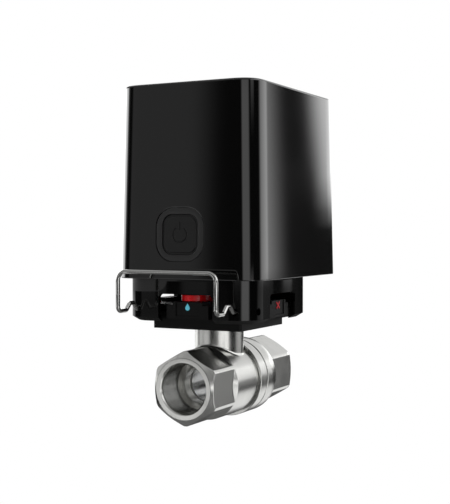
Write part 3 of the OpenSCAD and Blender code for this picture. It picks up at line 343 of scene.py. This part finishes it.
def coverShell(c):
    midY = c["front"] + c["depth"] / 2
    top = c["foot"] + c["height"]
    halfSpan = c["width"] / 2 - c["corner"]
    block = np.array([c["buttonX"] - c["blockSide"], c["buttonX"] + c["blockSide"]]) / halfSpan
    frontAt = np.concatenate([[-1.0], np.linspace(*block, c["blockRows"]), [c["frontEnd"]]])
    blockZ = np.linspace(c["buttonZ"] - c["blockRise"], c["buttonZ"] + c["blockRise"], c["blockRows"])
    upperZ = np.linspace(c["upperFrom"], top - c["upperEnd"], c["upperRows"])
    heights = np.concatenate([[c["foot"] + c["firstRow"]], blockZ, upperZ])

    def ring(z, inset, share=1.0):
        lean = c["lean"] * np.clip((z - c["foot"]) / c["height"], 0, 1)
        xy = coverOutline(c["width"] / 2 - lean - inset, c["depth"] / 2 - lean - inset,
                          c["corner"] - c["cornerInset"] * inset, frontAt) * share
        return np.concatenate([xy + [0, midY], np.full((len(xy), 1), z)], axis=1)
    f, e = c["footRound"], c["edge"]
    ceiling = [ring(top - c["roof"], c["wall"], s) for s in (0.0, 0.5, 1.0)]
    inner = ceiling + [ring(z, c["wall"]) for z in heights[::-1]]
    rim = [ring(c["foot"] + f * (1 - np.sin(a)), c["wall"] - f * (1 - np.cos(a))) for a in quarterBend]
    rim += [ring(c["foot"] + f * (1 - np.cos(a)), f * (1 - np.sin(a))) for a in quarterBend]
    rim += [ring(c["foot"] + f + c["footFlat"], 0)]  # this row and the brow's keep the walls flat
    outer = [ring(z, 0) for z in heights] + [ring(top - e - c["browFlat"], 0)]
    brow = [ring(top - e * (1 - np.sin(a)), e * (1 - np.cos(a))) for a in quarterBend]
    lid = [ring(top, e, s) for s in (0.97, 0.5, 0.0)]
    sheet = np.stack(inner + rim + outer + brow + lid)

    # the pocket: rings that pass from the block's edge to round squares, in and through the wall
    cols = sheet.shape[1]
    outerRow = len(inner) + len(rim)
    innerRow = len(inner) - 1
    first, last = 1, c["blockRows"]
    span = np.arange(first, last)
    low, high = np.full(len(span), first), np.full(len(span), last)
    rows = np.concatenate([low, span, high, span[::-1] + 1])
    places = np.concatenate([span, high, span[::-1] + 1, low])
    outside = sheet[outerRow + rows, places]
    inside = sheet[innerRow - rows, places]
    rel = np.stack([outside[:, 0] - c["buttonX"],
                    (outside[:, 2] - c["buttonZ"]) / np.cos(frontTilt)], axis=-1)
    way = rel / np.linalg.norm(rel, axis=1, keepdims=True)

    def pocketRing(half, corner, depth, grow=0.0):
        reach = roundSquareReach(way[:, 0], way[:, 1], half + grow, corner + grow)
        return onFront(way[:, 0] * reach, way[:, 1] * reach, -depth)
    mouth = c["pocketHalf"], c["pocketCorner"]
    opening = c["openHalf"], c["openCorner"]
    flat = pocketRing(*mouth, 0, c["pocketFlat"])  # keeps the face flat up to the pocket's edge
    pocket = np.stack([outside, outside * 0.5 + flat * 0.5, flat,
                       pocketRing(*mouth, 0, c["pocketRound"]),
                       pocketRing(*mouth, c["pocketMid"], c["pocketMid"]),
                       pocketRing(*mouth, c["pocketRound"]), pocketRing(*mouth, c["pocketDepth"]),
                       pocketRing(*opening, c["pocketDepth"]), pocketRing(*opening, c["wall"]), inside])
    outerCells = ((outerRow + span)[:, None] * cols + span[None, :]).ravel()
    innerCells = ((innerRow - span - 1)[:, None] * cols + span[None, :]).ravel()
    return [sheet, pocket], [(0, np.concatenate([outerCells, innerCells]))]


coverSheets, coverDrop = coverShell(cover)
makePiece("cover_shell", coverSheets, "glossAbs", "valve", "housing_cover", 40,
          coverDrop)

# Button surround: a profile of (share from outer to inner edge, height) round a soft square
bezel = {"half": 13.0, "corner": 9.4, "holeHalf": 9.9, "holeCorner": 5.4, "thick": 1.4,
         "round": 0.35, "steps": 240}


def bezelRing(c):
    angle = turnAngles(c["steps"])
    a, b = np.cos(angle), np.sin(angle)
    wide = roundSquareReach(a, b, c["half"], c["corner"])
    narrow = roundSquareReach(a, b, c["holeHalf"], c["holeCorner"])
    r, thick, bends = c["round"], c["thick"], len(quarterBend)
    rise, run = r * (1 - np.sin(quarterBend)), r * (1 - np.cos(quarterBend))
    sink = np.concatenate([[thick], rise, run, [thick, thick]])
    step = np.concatenate([[0], run, -rise, [0, 0]])
    side = np.concatenate([[0], np.zeros(bends), np.ones(bends), [1, 0]])
    reach = wide * (1 - side[:, None]) + narrow * side[:, None] - step[:, None]
    return onFront(reach * a, reach * b, -sink[:, None])


makePiece("button_surround", [bezelRing(bezel)], "bezelAbs", "valve",
          "button_bezel", 50)

# Push button: a soft square cap, its face sunk along the power sign's lines, in a fine collar on a
# wider flange behind
button = {"half": 8.7, "corner": 4.2, "sink": 0.2, "round": 0.5, "back": 2.2,
          "collarHalf": 9.6, "collarCorner": 5.1, "collarSink": 0.75,
          "flange": 0.7, "flangeHalf": 10.9, "flangeCorner": 6.4,
          "signR": 3.75, "lineHalf": 0.32, "lineSoft": 0.1, "lineDepth": 0.4, "gapDeg": 38,
          "barLow": 2.6, "barHigh": 5.8, "rings": 110, "steps": 360}


def buttonCap(c):
    angle = turnAngles(c["steps"])
    a, b = np.cos(angle), np.sin(angle)
    cap = roundSquareReach(a, b, c["half"], c["corner"])
    collar = roundSquareReach(a, b, c["collarHalf"], c["collarCorner"])
    base = roundSquareReach(a, b, c["flangeHalf"], c["flangeCorner"])
    r = c["round"]
    share = np.linspace(0, 1, c["rings"])[:, None]
    px, py = share * (cap - r) * a, share * (cap - r) * b
    # sign: distance to a ring with a gap at the top, and to an upright bar in that gap
    gap = np.radians(c["gapDeg"])
    endX, endY = c["signR"] * np.sin(gap), c["signR"] * np.cos(gap)
    toRing = np.where(np.abs(np.arctan2(px, py)) > gap, np.abs(np.hypot(px, py) - c["signR"]),
                      np.hypot(np.abs(px) - endX, py - endY))
    toBar = np.hypot(px, py - np.clip(py, c["barLow"], c["barHigh"]))
    nearest = np.minimum(toRing, toBar)
    line = 1 - ease(nearest, c["lineHalf"] - c["lineSoft"], c["lineHalf"] + c["lineSoft"])
    face = onFront(px, py, -c["sink"] - c["lineDepth"] * line)
    bend = np.radians([15, 30, 45, 60, 75, 90])[:, None]
    edge = cap - r + r * np.sin(bend)
    brow = onFront(edge * a, edge * b, -c["sink"] - r * (1 - np.cos(bend)))
    tail = np.stack([cap, collar, collar, base, base, base * 0])
    depth = np.repeat([c["collarSink"], c["back"] - c["flange"], c["back"]], 2)[:, None]
    rest = onFront(tail * a, tail * b, -depth)
    return np.concatenate([face, brow, rest])[:, ::-1]


makePiece("button_cap", [buttonCap(button)], "buttonAbs", "button",
          "power_button", 50)

# Wire clip: a round section carried along a path of straight runs and bends, both ends turned to a
# small dome
clip = {"wire": 2.1, "x": 26.6, "z": 38.0, "tailY": 34.55, "stopY": -36.85, "ramp": 3.4,
        "crest": 3.0, "hump": 3.3, "barY": -53.85, "barZ": 57.1, "humpBend": 1.5, "legBend": 2.4,
        "barBend": 4.2, "sides": 28, "bendSteps": 14, "tip": 0.35}


# Rounds each inner corner of a path by an arc tangent to both runs, all corners at once
def roundedPath(points, bends, steps):
    before = np.diff(points, axis=0)
    before /= np.linalg.norm(before, axis=1, keepdims=True)
    into, out = before[:-1], before[1:]
    dot = np.sum(into * out, axis=1, keepdims=True)
    turn = np.arccos(np.clip(dot, -1, 1))
    inward = out - dot * into
    inward /= np.linalg.norm(inward, axis=1, keepdims=True)
    r = np.array(bends)[:, None]
    start = points[1:-1] - into * r * np.tan(turn / 2)
    a = turn[:, None, :] * np.linspace(0, 1, steps)[None, :, None]
    arcs = start[:, None] + r[:, None] * (np.sin(a) * into[:, None] + (1 - np.cos(a)) * inward[:, None])
    return np.concatenate([points[:1], arcs.reshape(-1, 3), points[-1:]])


def clipWire(c):
    crestStart = c["stopY"] - c["ramp"]
    crestEnd = crestStart - c["crest"]
    legYz = np.array([(c["tailY"], c["z"]), (c["stopY"], c["z"]), (crestStart, c["z"] + c["hump"]),
                      (crestEnd, c["z"] + c["hump"]), (crestEnd - c["ramp"], c["z"]),
                      (c["barY"], c["z"]), (c["barY"], c["barZ"])])
    leg = np.concatenate([np.full((len(legYz), 1), -c["x"]), legYz], axis=1)
    mirrored = [-1, 1, 1]
    bends = [c["humpBend"]] * 4 + [c["legBend"], c["barBend"]]
    path = roundedPath(np.concatenate([leg, leg[::-1] * mirrored]), bends + bends[::-1], c["bendSteps"])
    # the domes: the path starts again along the leg while the section grows from a point
    dome = np.radians([90, 60, 30, 0])
    n = len(dome)
    half = c["wire"] / 2
    endIn = path[0] - c["tip"] * (1 - np.sin(dome))[:, None] * [0, 1, 0]
    path = np.concatenate([endIn, path[1:-1], (endIn * mirrored)[::-1]])
    grow = half - c["tip"] + c["tip"] * np.cos(dome)
    radius = np.concatenate([[0], grow, np.full(len(path) - 2 * n, half), grow[::-1], [0]])
    path = np.concatenate([path[:1], path, path[-1:]])
    ahead, behind = np.roll(path, -1, axis=0), np.roll(path, 1, axis=0)
    ahead[-2:], behind[:2] = path[-1], path[0]
    ahead[:2], behind[-2:] = path[n + 1], path[-n - 2]
    tangent = ahead - behind
    tangent /= np.linalg.norm(tangent, axis=1, keepdims=True)
    flat = np.cross([0, 1, 0], tangent)
    flat /= np.maximum(np.linalg.norm(flat, axis=1, keepdims=True), 1e-9)
    legSide = -np.sign(path[:, :1]) * [1, 0, 0]
    across = np.where(np.abs(tangent[:, 1:2]) > 0.01, legSide, flat)[:, None]
    up = np.cross(tangent, across[:, 0])[:, None]
    angle = turnAngles(c["sides"])[None, :, None]
    return path[:, None] + radius[:, None, None] * (np.cos(angle) * across + np.sin(angle) * up)


makePiece("wire_clip", [clipWire(clip)], "wireSteel", "clip", "retaining_clip", 60)

# Valve halves: a radius for each angle and each point of a profile; on the hexagon it is a soft
# minimum of the flats, the turned corners and the cone of the end face. Pairs are small profiles:
# ringEdge and coneStart (behind the face, out of the ring), leadIn (behind the face, out of the
# port's wall), rearEdge (before the drum's end, out of the drum)
valve = {"front": -37.7, "rear": 55.0, "flats": 32.6, "turned": 18.3, "ring": 15.1, "edge": 0.05,
         "cone": 2.6, "coneRows": 24, "ringEdge": ((0, -0.3), (0.01, -0.02)), "coneStart": (0.04, 0.1),
         "flatShares": (0.2, 0.4, 0.6, 0.8, 0.97, 1.0), "flatEnd": -16.6, "slopeRows": 22,
         "port": 12.06, "portDeep": 16.0, "way": 9.6, "stepRound": 0.15, "stepEdge": (0.2, 0.1),
         "lead": 0.8, "wallRow": 8.0,
         "leadIn": ((2.0, 0.0), (1.4, 0.01), (1.0, 0.07), (0.9, 0.12), (0.8, 0.19), (0.4, 0.4),
                    (0.1, 0.7), (0.03, 0.76)),
         "drumFront": -14.6, "drumLow": 18.3, "drumHigh": 19.8, "drumRear": 27.0,
         "rearEdge": ((-0.5, 0), (-0.15, -0.14), (0, -0.5)),
         "lowRows": (-14.5, -8.0, 0.0), "collarRow": 12.5, "rearRow": 22.0,
         "groove": 8.6, "joint": 16.8, "grooveHalf": 0.4, "grooveCorner": 0.1, "grooveDraft": 0.02,
         "grooveFloor": 17.4, "lowEdge": 0.08, "highEdge": 0.2,
         "split": 16.6, "threadR": 16.35, "threadEnd": 7.3, "chamberR": 15.6, "chamberEnd": -8.5,
         "seatR": 14.3, "seatEnd": 13.5, "plugR": 16.3, "shoulder": 17.0}


# Profile rows are (y, radius, kind): 0 is round, 1 the hexagon within that radius, 2 a cone laid
# over the hexagon
def turnedPiece(rows, c):
    y, radius, kind = np.array(rows, float).T[:, :, None]
    # angles from a corner of the hexagon, close together where its flats meet the turned corner
    half = np.concatenate([np.linspace(30, 6, 13), np.linspace(5, 3.9, 4),
                           np.linspace(3.7, 2.3, 10), [1.8, 0.9]])
    sector = np.concatenate([-half, [0], half[:0:-1]])
    angle = np.radians((sector + 30 + 60 * np.arange(6)[:, None]).reshape(1, -1))
    flat = c["flats"] / 2 / np.cos((angle + np.pi / 6) % (np.pi / 3) - np.pi / 6)
    k = c["edge"]

    def softMinimum(p, q):
        return np.minimum(p, q) - k * np.log1p(np.exp(-np.abs(p - q) / k))
    overlaid = np.maximum(softMinimum(flat, c["turned"]), radius)
    r = np.where(kind == 1, softMinimum(flat, radius), np.where(kind == 2, overlaid, radius))
    return np.stack([r * np.cos(angle), np.broadcast_to(y, r.shape), -r * np.sin(angle)], axis=-1)


# End face, cone and hexagon from the face inwards; way is 1 where the piece lies behind its face
def hexRows(c, face, way, last):
    slope = (c["turned"] - c["ring"]) / c["cone"]
    deep, out = c["coneStart"]
    rows = [(face, c["port"] + c["lead"], 0)]
    rows += [(face + way * d, c["ring"] + r, 0) for d, r in c["ringEdge"]]
    rows += [(face + way * (deep + d), min(c["turned"], c["ring"] + out + slope * d), 1)
             for d in np.linspace(0, c["cone"], c["coneRows"])]
    rows += [(face + (last - face) * s, c["turned"], 1) for s in c["flatShares"]]
    return rows


# Socket from the water way out to the mouth; its lead-in eases out of the wall and opens at 45 degrees
def portRows(c, face, way):
    end, step, r = face + way * c["portDeep"], c["port"] - c["way"], c["stepRound"]
    inner, outer = c["stepEdge"]
    rows = [(end + way * (step + r), c["way"], 0), (end + way * (step - r), c["way"] + r, 0),
            (end + way * inner, c["port"] - inner, 0), (end - way * outer, c["port"], 0),
            (face + way * c["wallRow"], c["port"], 0)]
    return rows + [(face + way * d, c["port"] + out, 0) for d, out in c["leadIn"]]


# One wall of a groove, from its floor up to a drum of the given radius with a rounded edge
def grooveWall(c, at, way, top, edge):
    floor, half, corner = c["grooveFloor"], c["grooveHalf"], c["grooveCorner"]
    brink = half + c["grooveDraft"]
    return [(at + way * (half - corner), floor, 0), (at + way * half, floor + corner, 0),
            (at + way * brink, top - edge, 0), (at + way * (brink + edge), top, 0)]


def valveBody(c):
    low, high, flat = c["drumLow"], c["drumHigh"], c["flats"] / 2
    rows = hexRows(c, c["front"], 1, c["flatEnd"])
    rows += [(c["flatEnd"] + s * (c["drumFront"] - c["flatEnd"]), flat + s * (low - flat), 2)
             for s in np.linspace(0.02, 1, c["slopeRows"])]
    rows += [(y, low, 0) for y in c["lowRows"]]
    rows += grooveWall(c, c["groove"], -1, low, c["lowEdge"])[::-1]
    rows += grooveWall(c, c["groove"], 1, high, c["highEdge"]) + [(c["collarRow"], high, 0)]
    rows += grooveWall(c, c["joint"], -1, high, c["highEdge"])[::-1]
    rows += [(c["split"], c["grooveFloor"], 0), (c["split"], c["threadR"], 0),
             (c["threadEnd"], c["threadR"], 0), (c["threadEnd"], c["chamberR"], 0),
             (c["chamberEnd"], c["chamberR"], 0), (c["chamberEnd"], c["seatR"], 0),
             (-c["seatEnd"], c["seatR"], 0), (-c["seatEnd"], c["way"], 0)]
    return turnedPiece(rows + portRows(c, c["front"], 1) + rows[:1], c)


# Neck: a tube up from the drum, flared where it meets it; its lower rows follow the drum's round
neck = {"radius": 12.5, "top": 27.8, "edge": 0.4, "spigot": 9.5, "spigotTop": 37.2, "bore": 5.05,
        "root": 17.2, "rootOut": 0.6, "flare": 1.1, "flareFlat": 0.2, "stepSoft": 0.3, "middle": 21.5,
        "steps": 160}


def neckTube(n, c):
    angle = turnAngles(n["steps"])[None, :]

    def overDrum(radius, over, drum):
        x, y = radius * np.cos(angle), radius * np.sin(angle)
        rise = c["drumHigh"] - c["drumLow"]
        size = drum + rise / (1 + np.exp(-(y - c["groove"]) / n["stepSoft"]))
        return np.stack([x, y, np.sqrt(np.maximum(size ** 2 - x ** 2, 0)) + over], axis=-1)

    def level(radius, z):
        return np.stack(np.broadcast_arrays(radius * np.cos(angle), radius * np.sin(angle), z), axis=-1)
    r, top, e, flare = n["radius"], n["top"], n["edge"], n["flare"]
    rows = [overDrum(n["bore"], 0, n["root"]), overDrum(r + n["rootOut"], 0, n["root"])]
    rows += [overDrum(r + flare * (1 - np.sin(a)), flare * (1 - np.cos(a)), c["drumLow"])
             for a in np.radians(np.linspace(0, 90, 7))]
    rows += [overDrum(r, flare + n["flareFlat"], c["drumLow"])]
    rows += [level(*row) for row in (
        (r, n["middle"]), (r, top - 1.5 * e), (r, top - e), (r - 0.3 * e, top - 0.3 * e), (r - e, top),
        (n["spigot"], top), (n["spigot"], n["spigotTop"] - e), (n["spigot"] - e, n["spigotTop"]),
        (n["bore"], n["spigotTop"]))]
    return np.concatenate(rows + rows[:1], axis=0)


def endConnector(c):
    high = c["drumHigh"]
    rows = portRows(c, c["rear"], -1)[::-1]
    rows += [(c["seatEnd"], c["way"], 0), (c["seatEnd"], c["seatR"], 0),
             (c["threadEnd"], c["seatR"], 0), (c["threadEnd"], c["plugR"], 0),
             (c["shoulder"], c["plugR"], 0), (c["shoulder"], c["grooveFloor"], 0)]
    rows += grooveWall(c, c["joint"], 1, high, c["highEdge"]) + [(c["rearRow"], high, 0)]
    rows += [(c["drumRear"] + d, high + r, 0) for d, r in c["rearEdge"]]
    rows += hexRows(c, c["rear"], -1, c["drumRear"])[::-1]
    return turnedPiece(rows + rows[:1], c)


makePiece("plated_body", [valveBody(valve), neckTube(neck, valve)], "nickel", "valve",
          "valve_body", 24)
makePiece("plated_end", [endConnector(valve)], "nickel", "valve", "end_connector", 24)

# CAD solids with the right shape: their edges are rounded as a mould or a tool leaves them
softenedCopy("actuator_skirt", "lower_case", "satinAbs", "valve", 0.3)
softenedCopy("adapter_block", "mount_plate", "sparkNylon", "valve", 0.25)
softenedCopy("override_handle", "manual_handle", "redPom", "flow_control", 0.7, 4)

# The other CAD nodes keep their shape and take these finishes
nodeFinish = {
    "joint_seal": "rubber", "ball": "chrome", "ball_seats": "ptfe", "stem": "bareBrass",
    "stem_o_rings": "rubber", "thrust_washer": "ptfe", "lock_nut": "bareBrass",
    "open_signs": "dropInk", "closed_signs": "crossInk", "handle_screw": "zincSteel",
    "cover_gasket": "rubber", "cover_screws": "zincSteel", "output_shaft": "acetal",
    "shaft_seal": "rubber", "output_gear": "acetal", "gear_clip": "groundSteel",
    "position_magnet": "chrome", "second_gear": "acetal", "second_axle": "groundSteel",
    "first_gear": "acetal", "first_axle": "groundSteel", "motor_pinion": "bareBrass",
    "motor_shaft": "groundSteel", "motor_case": "zincSteel", "motor_screws": "zincSteel",
    "chassis_pillars": "bareBrass", "chassis_plate": "glassNylon", "chassis_screws": "zincSteel",
    "battery_tray": "glassNylon", "battery_cells": "cellSleeve", "contact_board": "solderMask",
    "circuit_board": "solderMask", "touch_switch": "bezelAbs", "radio_module": "tinnedSheet",
    "board_screws": "zincSteel"}
for node, finish in nodeFinish.items():
    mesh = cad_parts[node].data
    mesh.materials.clear()
    mesh.materials.append(finishes[finish])
print("CAD nodes with a finish: %d" % len(nodeFinish))

# Studio: a pale floor disc that fades out, a white world, a soft lamp, and light that only the gloss
# sees: softbox cards on a far dome and a few near ones
studio = {"floorZ": -0.25, "floorR": 0.6, "floorRings": (0, 0.2, 0.4, 0.5, 1.0), "floorSteps": 96,
          "floorFade": (0.25, 0.95), "floorColour": "#eeeeee", "worldDiffuse": 0.55,
          "domeR": 30.0, "dark": 0.02, "nearR": 0.2, "nearGrid": (32, 45)}
# Each card: middle and half width in azimuth (degrees from the front, + to the right), soft left and
# right edges, lower and upper elevation, soft lower and upper edges, level, and a lean if any
softboxes = {
    "left_card": (-40, 12.5, 8, 2, -6, 30, 4, 12, 0.21),
    "low_left": (-38, 22, 10, 6, -18, -4.5, 5, 2.5, 1.0),
    "left_mid": (-108, 44, 10, 10, -2, 24, 3, 8, 0.5),
    "low_rim": (-122, 32, 10, 10, -8, -2, 2, 2, 0.85),
    "front_strip": (28, 26, 10, 14, -3.5, 17, 3, 7, 0.76),
    "low_strip": (53, 22, 12, 10, -7, 1, 2, 3, 1.7),
    "lens_low": (70, 13, 4, 8, -48, -8, 8, 2, 1.3),
    "lens_high": (72, 14, 5, 8, 8, 42, 8, 8, 1.2),
    "right_card": (134, 22.1, 20, 2.3, -3.5, 26, 2.5, 10, 1.2),
    "low_right": (132, 26, 14, 10, -16, 0, 6, 4, 0.33),
    "back_card": (178.7, 21.2, 1.4, 12, 0.8, 17, 3.4, 4, 1.75, 0.07),
    "high_back": (180, 40, 15, 15, 10, 44, 6, 12, 0.75),
    "low_back": (172, 26, 10, 12, -42, -14, 10, 7, 0.9),
    "front_high": (0, 100, 25, 25, 16, 55, 8, 10, 0.2),
    "low_front": (0, 110, 25, 25, -50, -16, 8, 8, 0.13),
    "floor_glow": (0, 180, 1, 1, -90, -20, 1, 8, 0.13),
    "ceiling": (0, 180, 1, 1, 30, 90, 14, 1, 0.4),
    "high_right": (112, 40, 15, 15, 12, 60, 6, 12, 1.5)}
# Curved cards close by, one for the box's left edge and three low ones for the valve's neck: azimuth
# of both sides, their softness, foot and top in metres, soft foot and top, level
nearCards = {
    "rim_card": (-152, -64, 10, 0.046, 0.2, 0.006, 0.03, 2.8),
    "neck_rim": (-142, -80, 18, -0.018, 0.017, 0.006, 0.006, 1.25),
    "neck_fill": (-80, -50, 4, -0.018, 0.017, 0.006, 0.006, 0.7),
    "neck_strip": (19, 78, 12, -0.018, 0.017, 0.006, 0.006, 1.6)}
# A grey shelf under the first of them hides it from the valve below; the shelf's grey is painted light,
# a glow at that level that only the gloss sees
rimShelf = {"radius": (0.054, 0.2), "azimuth": (-152, -25), "height": 0.046, "grey": 0.5,
            "steps": 64}


def buildFloor(s):
    angle = turnAngles(s["floorSteps"])
    radius = np.array(s["floorRings"])[:, None] * s["floorR"]
    points = np.stack(np.broadcast_arrays(radius * np.cos(angle), radius * np.sin(angle), s["floorZ"]),
                      axis=-1)
    mesh = bpy.data.meshes.new("floor")
    mesh.from_pydata(points.reshape(-1, 3).tolist(), [], gridFaces(*points.shape[:2]).tolist())
    floor = bpy.data.objects.new("floor", mesh)
    scene.collection.objects.link(floor)
    floor.visible_glossy = False
    material, tree = newMaterial("painted_studio_floor_white")
    away = addNode(tree, "ShaderNodeVectorMath", {0: objectPlace(tree), 1: (1, 1, 0)},
                   operation="MULTIPLY")
    away = addNode(tree, "ShaderNodeVectorMath", {0: away.outputs["Vector"]}, operation="LENGTH")
    start, end = [share * s["floorR"] for share in s["floorFade"]]
    fade = addNode(tree, "ShaderNodeMapRange",
                   {"Value": away.outputs["Value"], "From Min": start, "From Max": end},
                   interpolation_type="SMOOTHSTEP")
    paint = addNode(tree, "ShaderNodeBsdfDiffuse", {"Color": linearColour(s["floorColour"])})
    clear = addNode(tree, "ShaderNodeBsdfTransparent")
    output(tree, addNode(tree, "ShaderNodeMixShader",
                         {0: fade.outputs["Result"], 1: paint.outputs[0], 2: clear.outputs[0]}))
    mesh.materials.append(material)


# Level of one card: a rectangle in azimuth and elevation, eased at its four edges
def cardLevel(az, el, card):
    middle, half, left, right, low, high, lowSoft, highSoft, level, *lean = card
    turn = (az - middle + 180) % 360 - 180 + sum(lean) * (el - low)
    across = ease(turn, -half, left - half) * (1 - ease(turn, half - right, half))
    if half >= 180:  # a card all the way round has no sides
        across = np.ones_like(across)
    return level * across * ease(el, low, low + lowSoft) * (1 - ease(el, high - highSoft, high + 0.001))


# A sheet of light that only the gloss sees: a grid of points with a level for each
def lightSheet(name, points, level, closed):
    mesh = bpy.data.meshes.new(name)
    mesh.from_pydata(points.reshape(-1, 3).tolist(), [], gridFaces(*level.shape, 0, closed).tolist())
    glow = mesh.attributes.new("glow", "FLOAT", "POINT")
    glow.data.foreach_set("value", level.astype(np.float32).ravel())
    sheet = bpy.data.objects.new(name, mesh)
    scene.collection.objects.link(sheet)
    sheet.visible_camera = sheet.visible_diffuse = False
    sheet.visible_shadow = sheet.visible_transmission = False
    material, tree = newMaterial(name + "_light")
    material.cycles.emission_sampling = "NONE"
    painted = addNode(tree, "ShaderNodeAttribute", attribute_name="glow")
    output(tree, addNode(tree, "ShaderNodeEmission", {"Strength": painted.outputs["Fac"]}))
    mesh.materials.append(material)


# Points at an azimuth, a distance from the upright axis and a height
def onArc(az, radius, z):
    a = np.radians(az)
    return np.stack(np.broadcast_arrays(radius * np.sin(a), -radius * np.cos(a), z), axis=-1)


def buildDome(s, cards):
    # finer steps where a card has a firm edge
    az = np.concatenate([np.arange(-180, -32, 1.0), np.arange(-32, -26, 0.25),
                         np.arange(-26, 150, 1.0), np.arange(150, 162, 0.2), np.arange(162, 180, 1.0)])
    el = np.concatenate([np.arange(-90, -30, 4.0), np.arange(-30, 30, 1.0), np.arange(30, 90, 4.0),
                         [90.0]])
    az, el = az[None, :], el[:, None]
    level = s["dark"] + np.maximum.reduce([cardLevel(az, el, card) for card in cards.values()])
    e = np.radians(el)
    lightSheet("dome", onArc(az, s["domeR"] * np.cos(e), s["domeR"] * np.sin(e)), level, True)


def buildNearCards(s, cards, shelf):
    for name, (left, right, sideSoft, foot, top, footSoft, topSoft, level) in cards.items():
        rows, cols = s["nearGrid"]
        az, z = np.linspace(left, right, cols)[None, :], np.linspace(foot, top, rows)[:, None]
        across = ease(az, left, left + sideSoft) * (1 - ease(az, right - sideSoft, right))
        up = ease(z, foot, foot + footSoft) * (1 - ease(z, top - topSoft, top))
        lightSheet(name, onArc(az, s["nearR"], z), level * across * up, False)
    points = onArc(np.linspace(*shelf["azimuth"], shelf["steps"])[None, :],
                   np.array(shelf["radius"])[:, None], shelf["height"])
    # the shelf is painted light: it glows at its grey level, seen only in reflections
    lightSheet("rim_shelf", points, np.full(points.shape[:2], shelf["grey"]), False)


# Camera, mirror and glass see a white world; other rays get less of it, so that colours stay true
def buildWorld(s):
    world = bpy.data.worlds.new("white_studio")
    scene.world = world
    world.use_nodes = True
    tree = world.node_tree
    tree.nodes.clear()
    path = addNode(tree, "ShaderNodeLightPath").outputs
    seen = addNode(tree, "ShaderNodeMath",
                   {0: path["Is Camera Ray"], 1: path["Is Glossy Ray"]}, operation="MAXIMUM")
    seen = addNode(tree, "ShaderNodeMath",
                   {0: seen.outputs[0], 1: path["Is Transmission Ray"]}, operation="MAXIMUM")
    level = spread(tree, seen.outputs[0], (0.0, 1.0), (s["worldDiffuse"], 1.0))
    light = addNode(tree, "ShaderNodeBackground", {"Color": (1, 1, 1, 1), "Strength": level})
    addNode(tree, "ShaderNodeOutputWorld", {"Surface": light.outputs[0]})


keyLamp = {"place": (-0.5, -0.9, 0.9), "aim": (0, 0, 0.06), "size": (0.6, 0.6), "watts": 9}


def softLamp(name, s):
    lamp = bpy.data.lights.new(name, "AREA")
    lamp.shape, lamp.energy = "RECTANGLE", s["watts"]
    lamp.size, lamp.size_y = s["size"]
    holder = bpy.data.objects.new(name, lamp)
    scene.collection.objects.link(holder)
    holder.location = s["place"]
    aim = Vector(s["aim"]) - Vector(s["place"])
    holder.rotation_euler = aim.to_track_quat("-Z", "Y").to_euler()
    holder.visible_glossy = False


buildFloor(studio)
buildDome(studio, softboxes)
buildNearCards(studio, nearCards, rimShelf)
buildWorld(studio)
softLamp("key_softbox", keyLamp)
print("studio set")

# Camera: fitted to the photograph's outline, a 74 mm lens about half a metre away, nearly level
camera = {"place": (0.2487, -0.4730, 0.0763), "look": (-0.4622, 0.8867, -0.0141), "lens": 74.346,
          "sensor": 36, "shift": (0.0040, -0.0119), "clip": (0.01, 20)}
lens = bpy.data.cameras.new("photo_camera")
lens.lens, lens.sensor_width = camera["lens"], camera["sensor"]
lens.shift_x, lens.shift_y = camera["shift"]
lens.clip_start, lens.clip_end = camera["clip"]
eye = bpy.data.objects.new("photo_camera", lens)
scene.collection.objects.link(eye)
eye.location = camera["place"]
eye.rotation_euler = Vector(camera["look"]).to_track_quat("-Z", "Y").to_euler()
scene.camera = eye
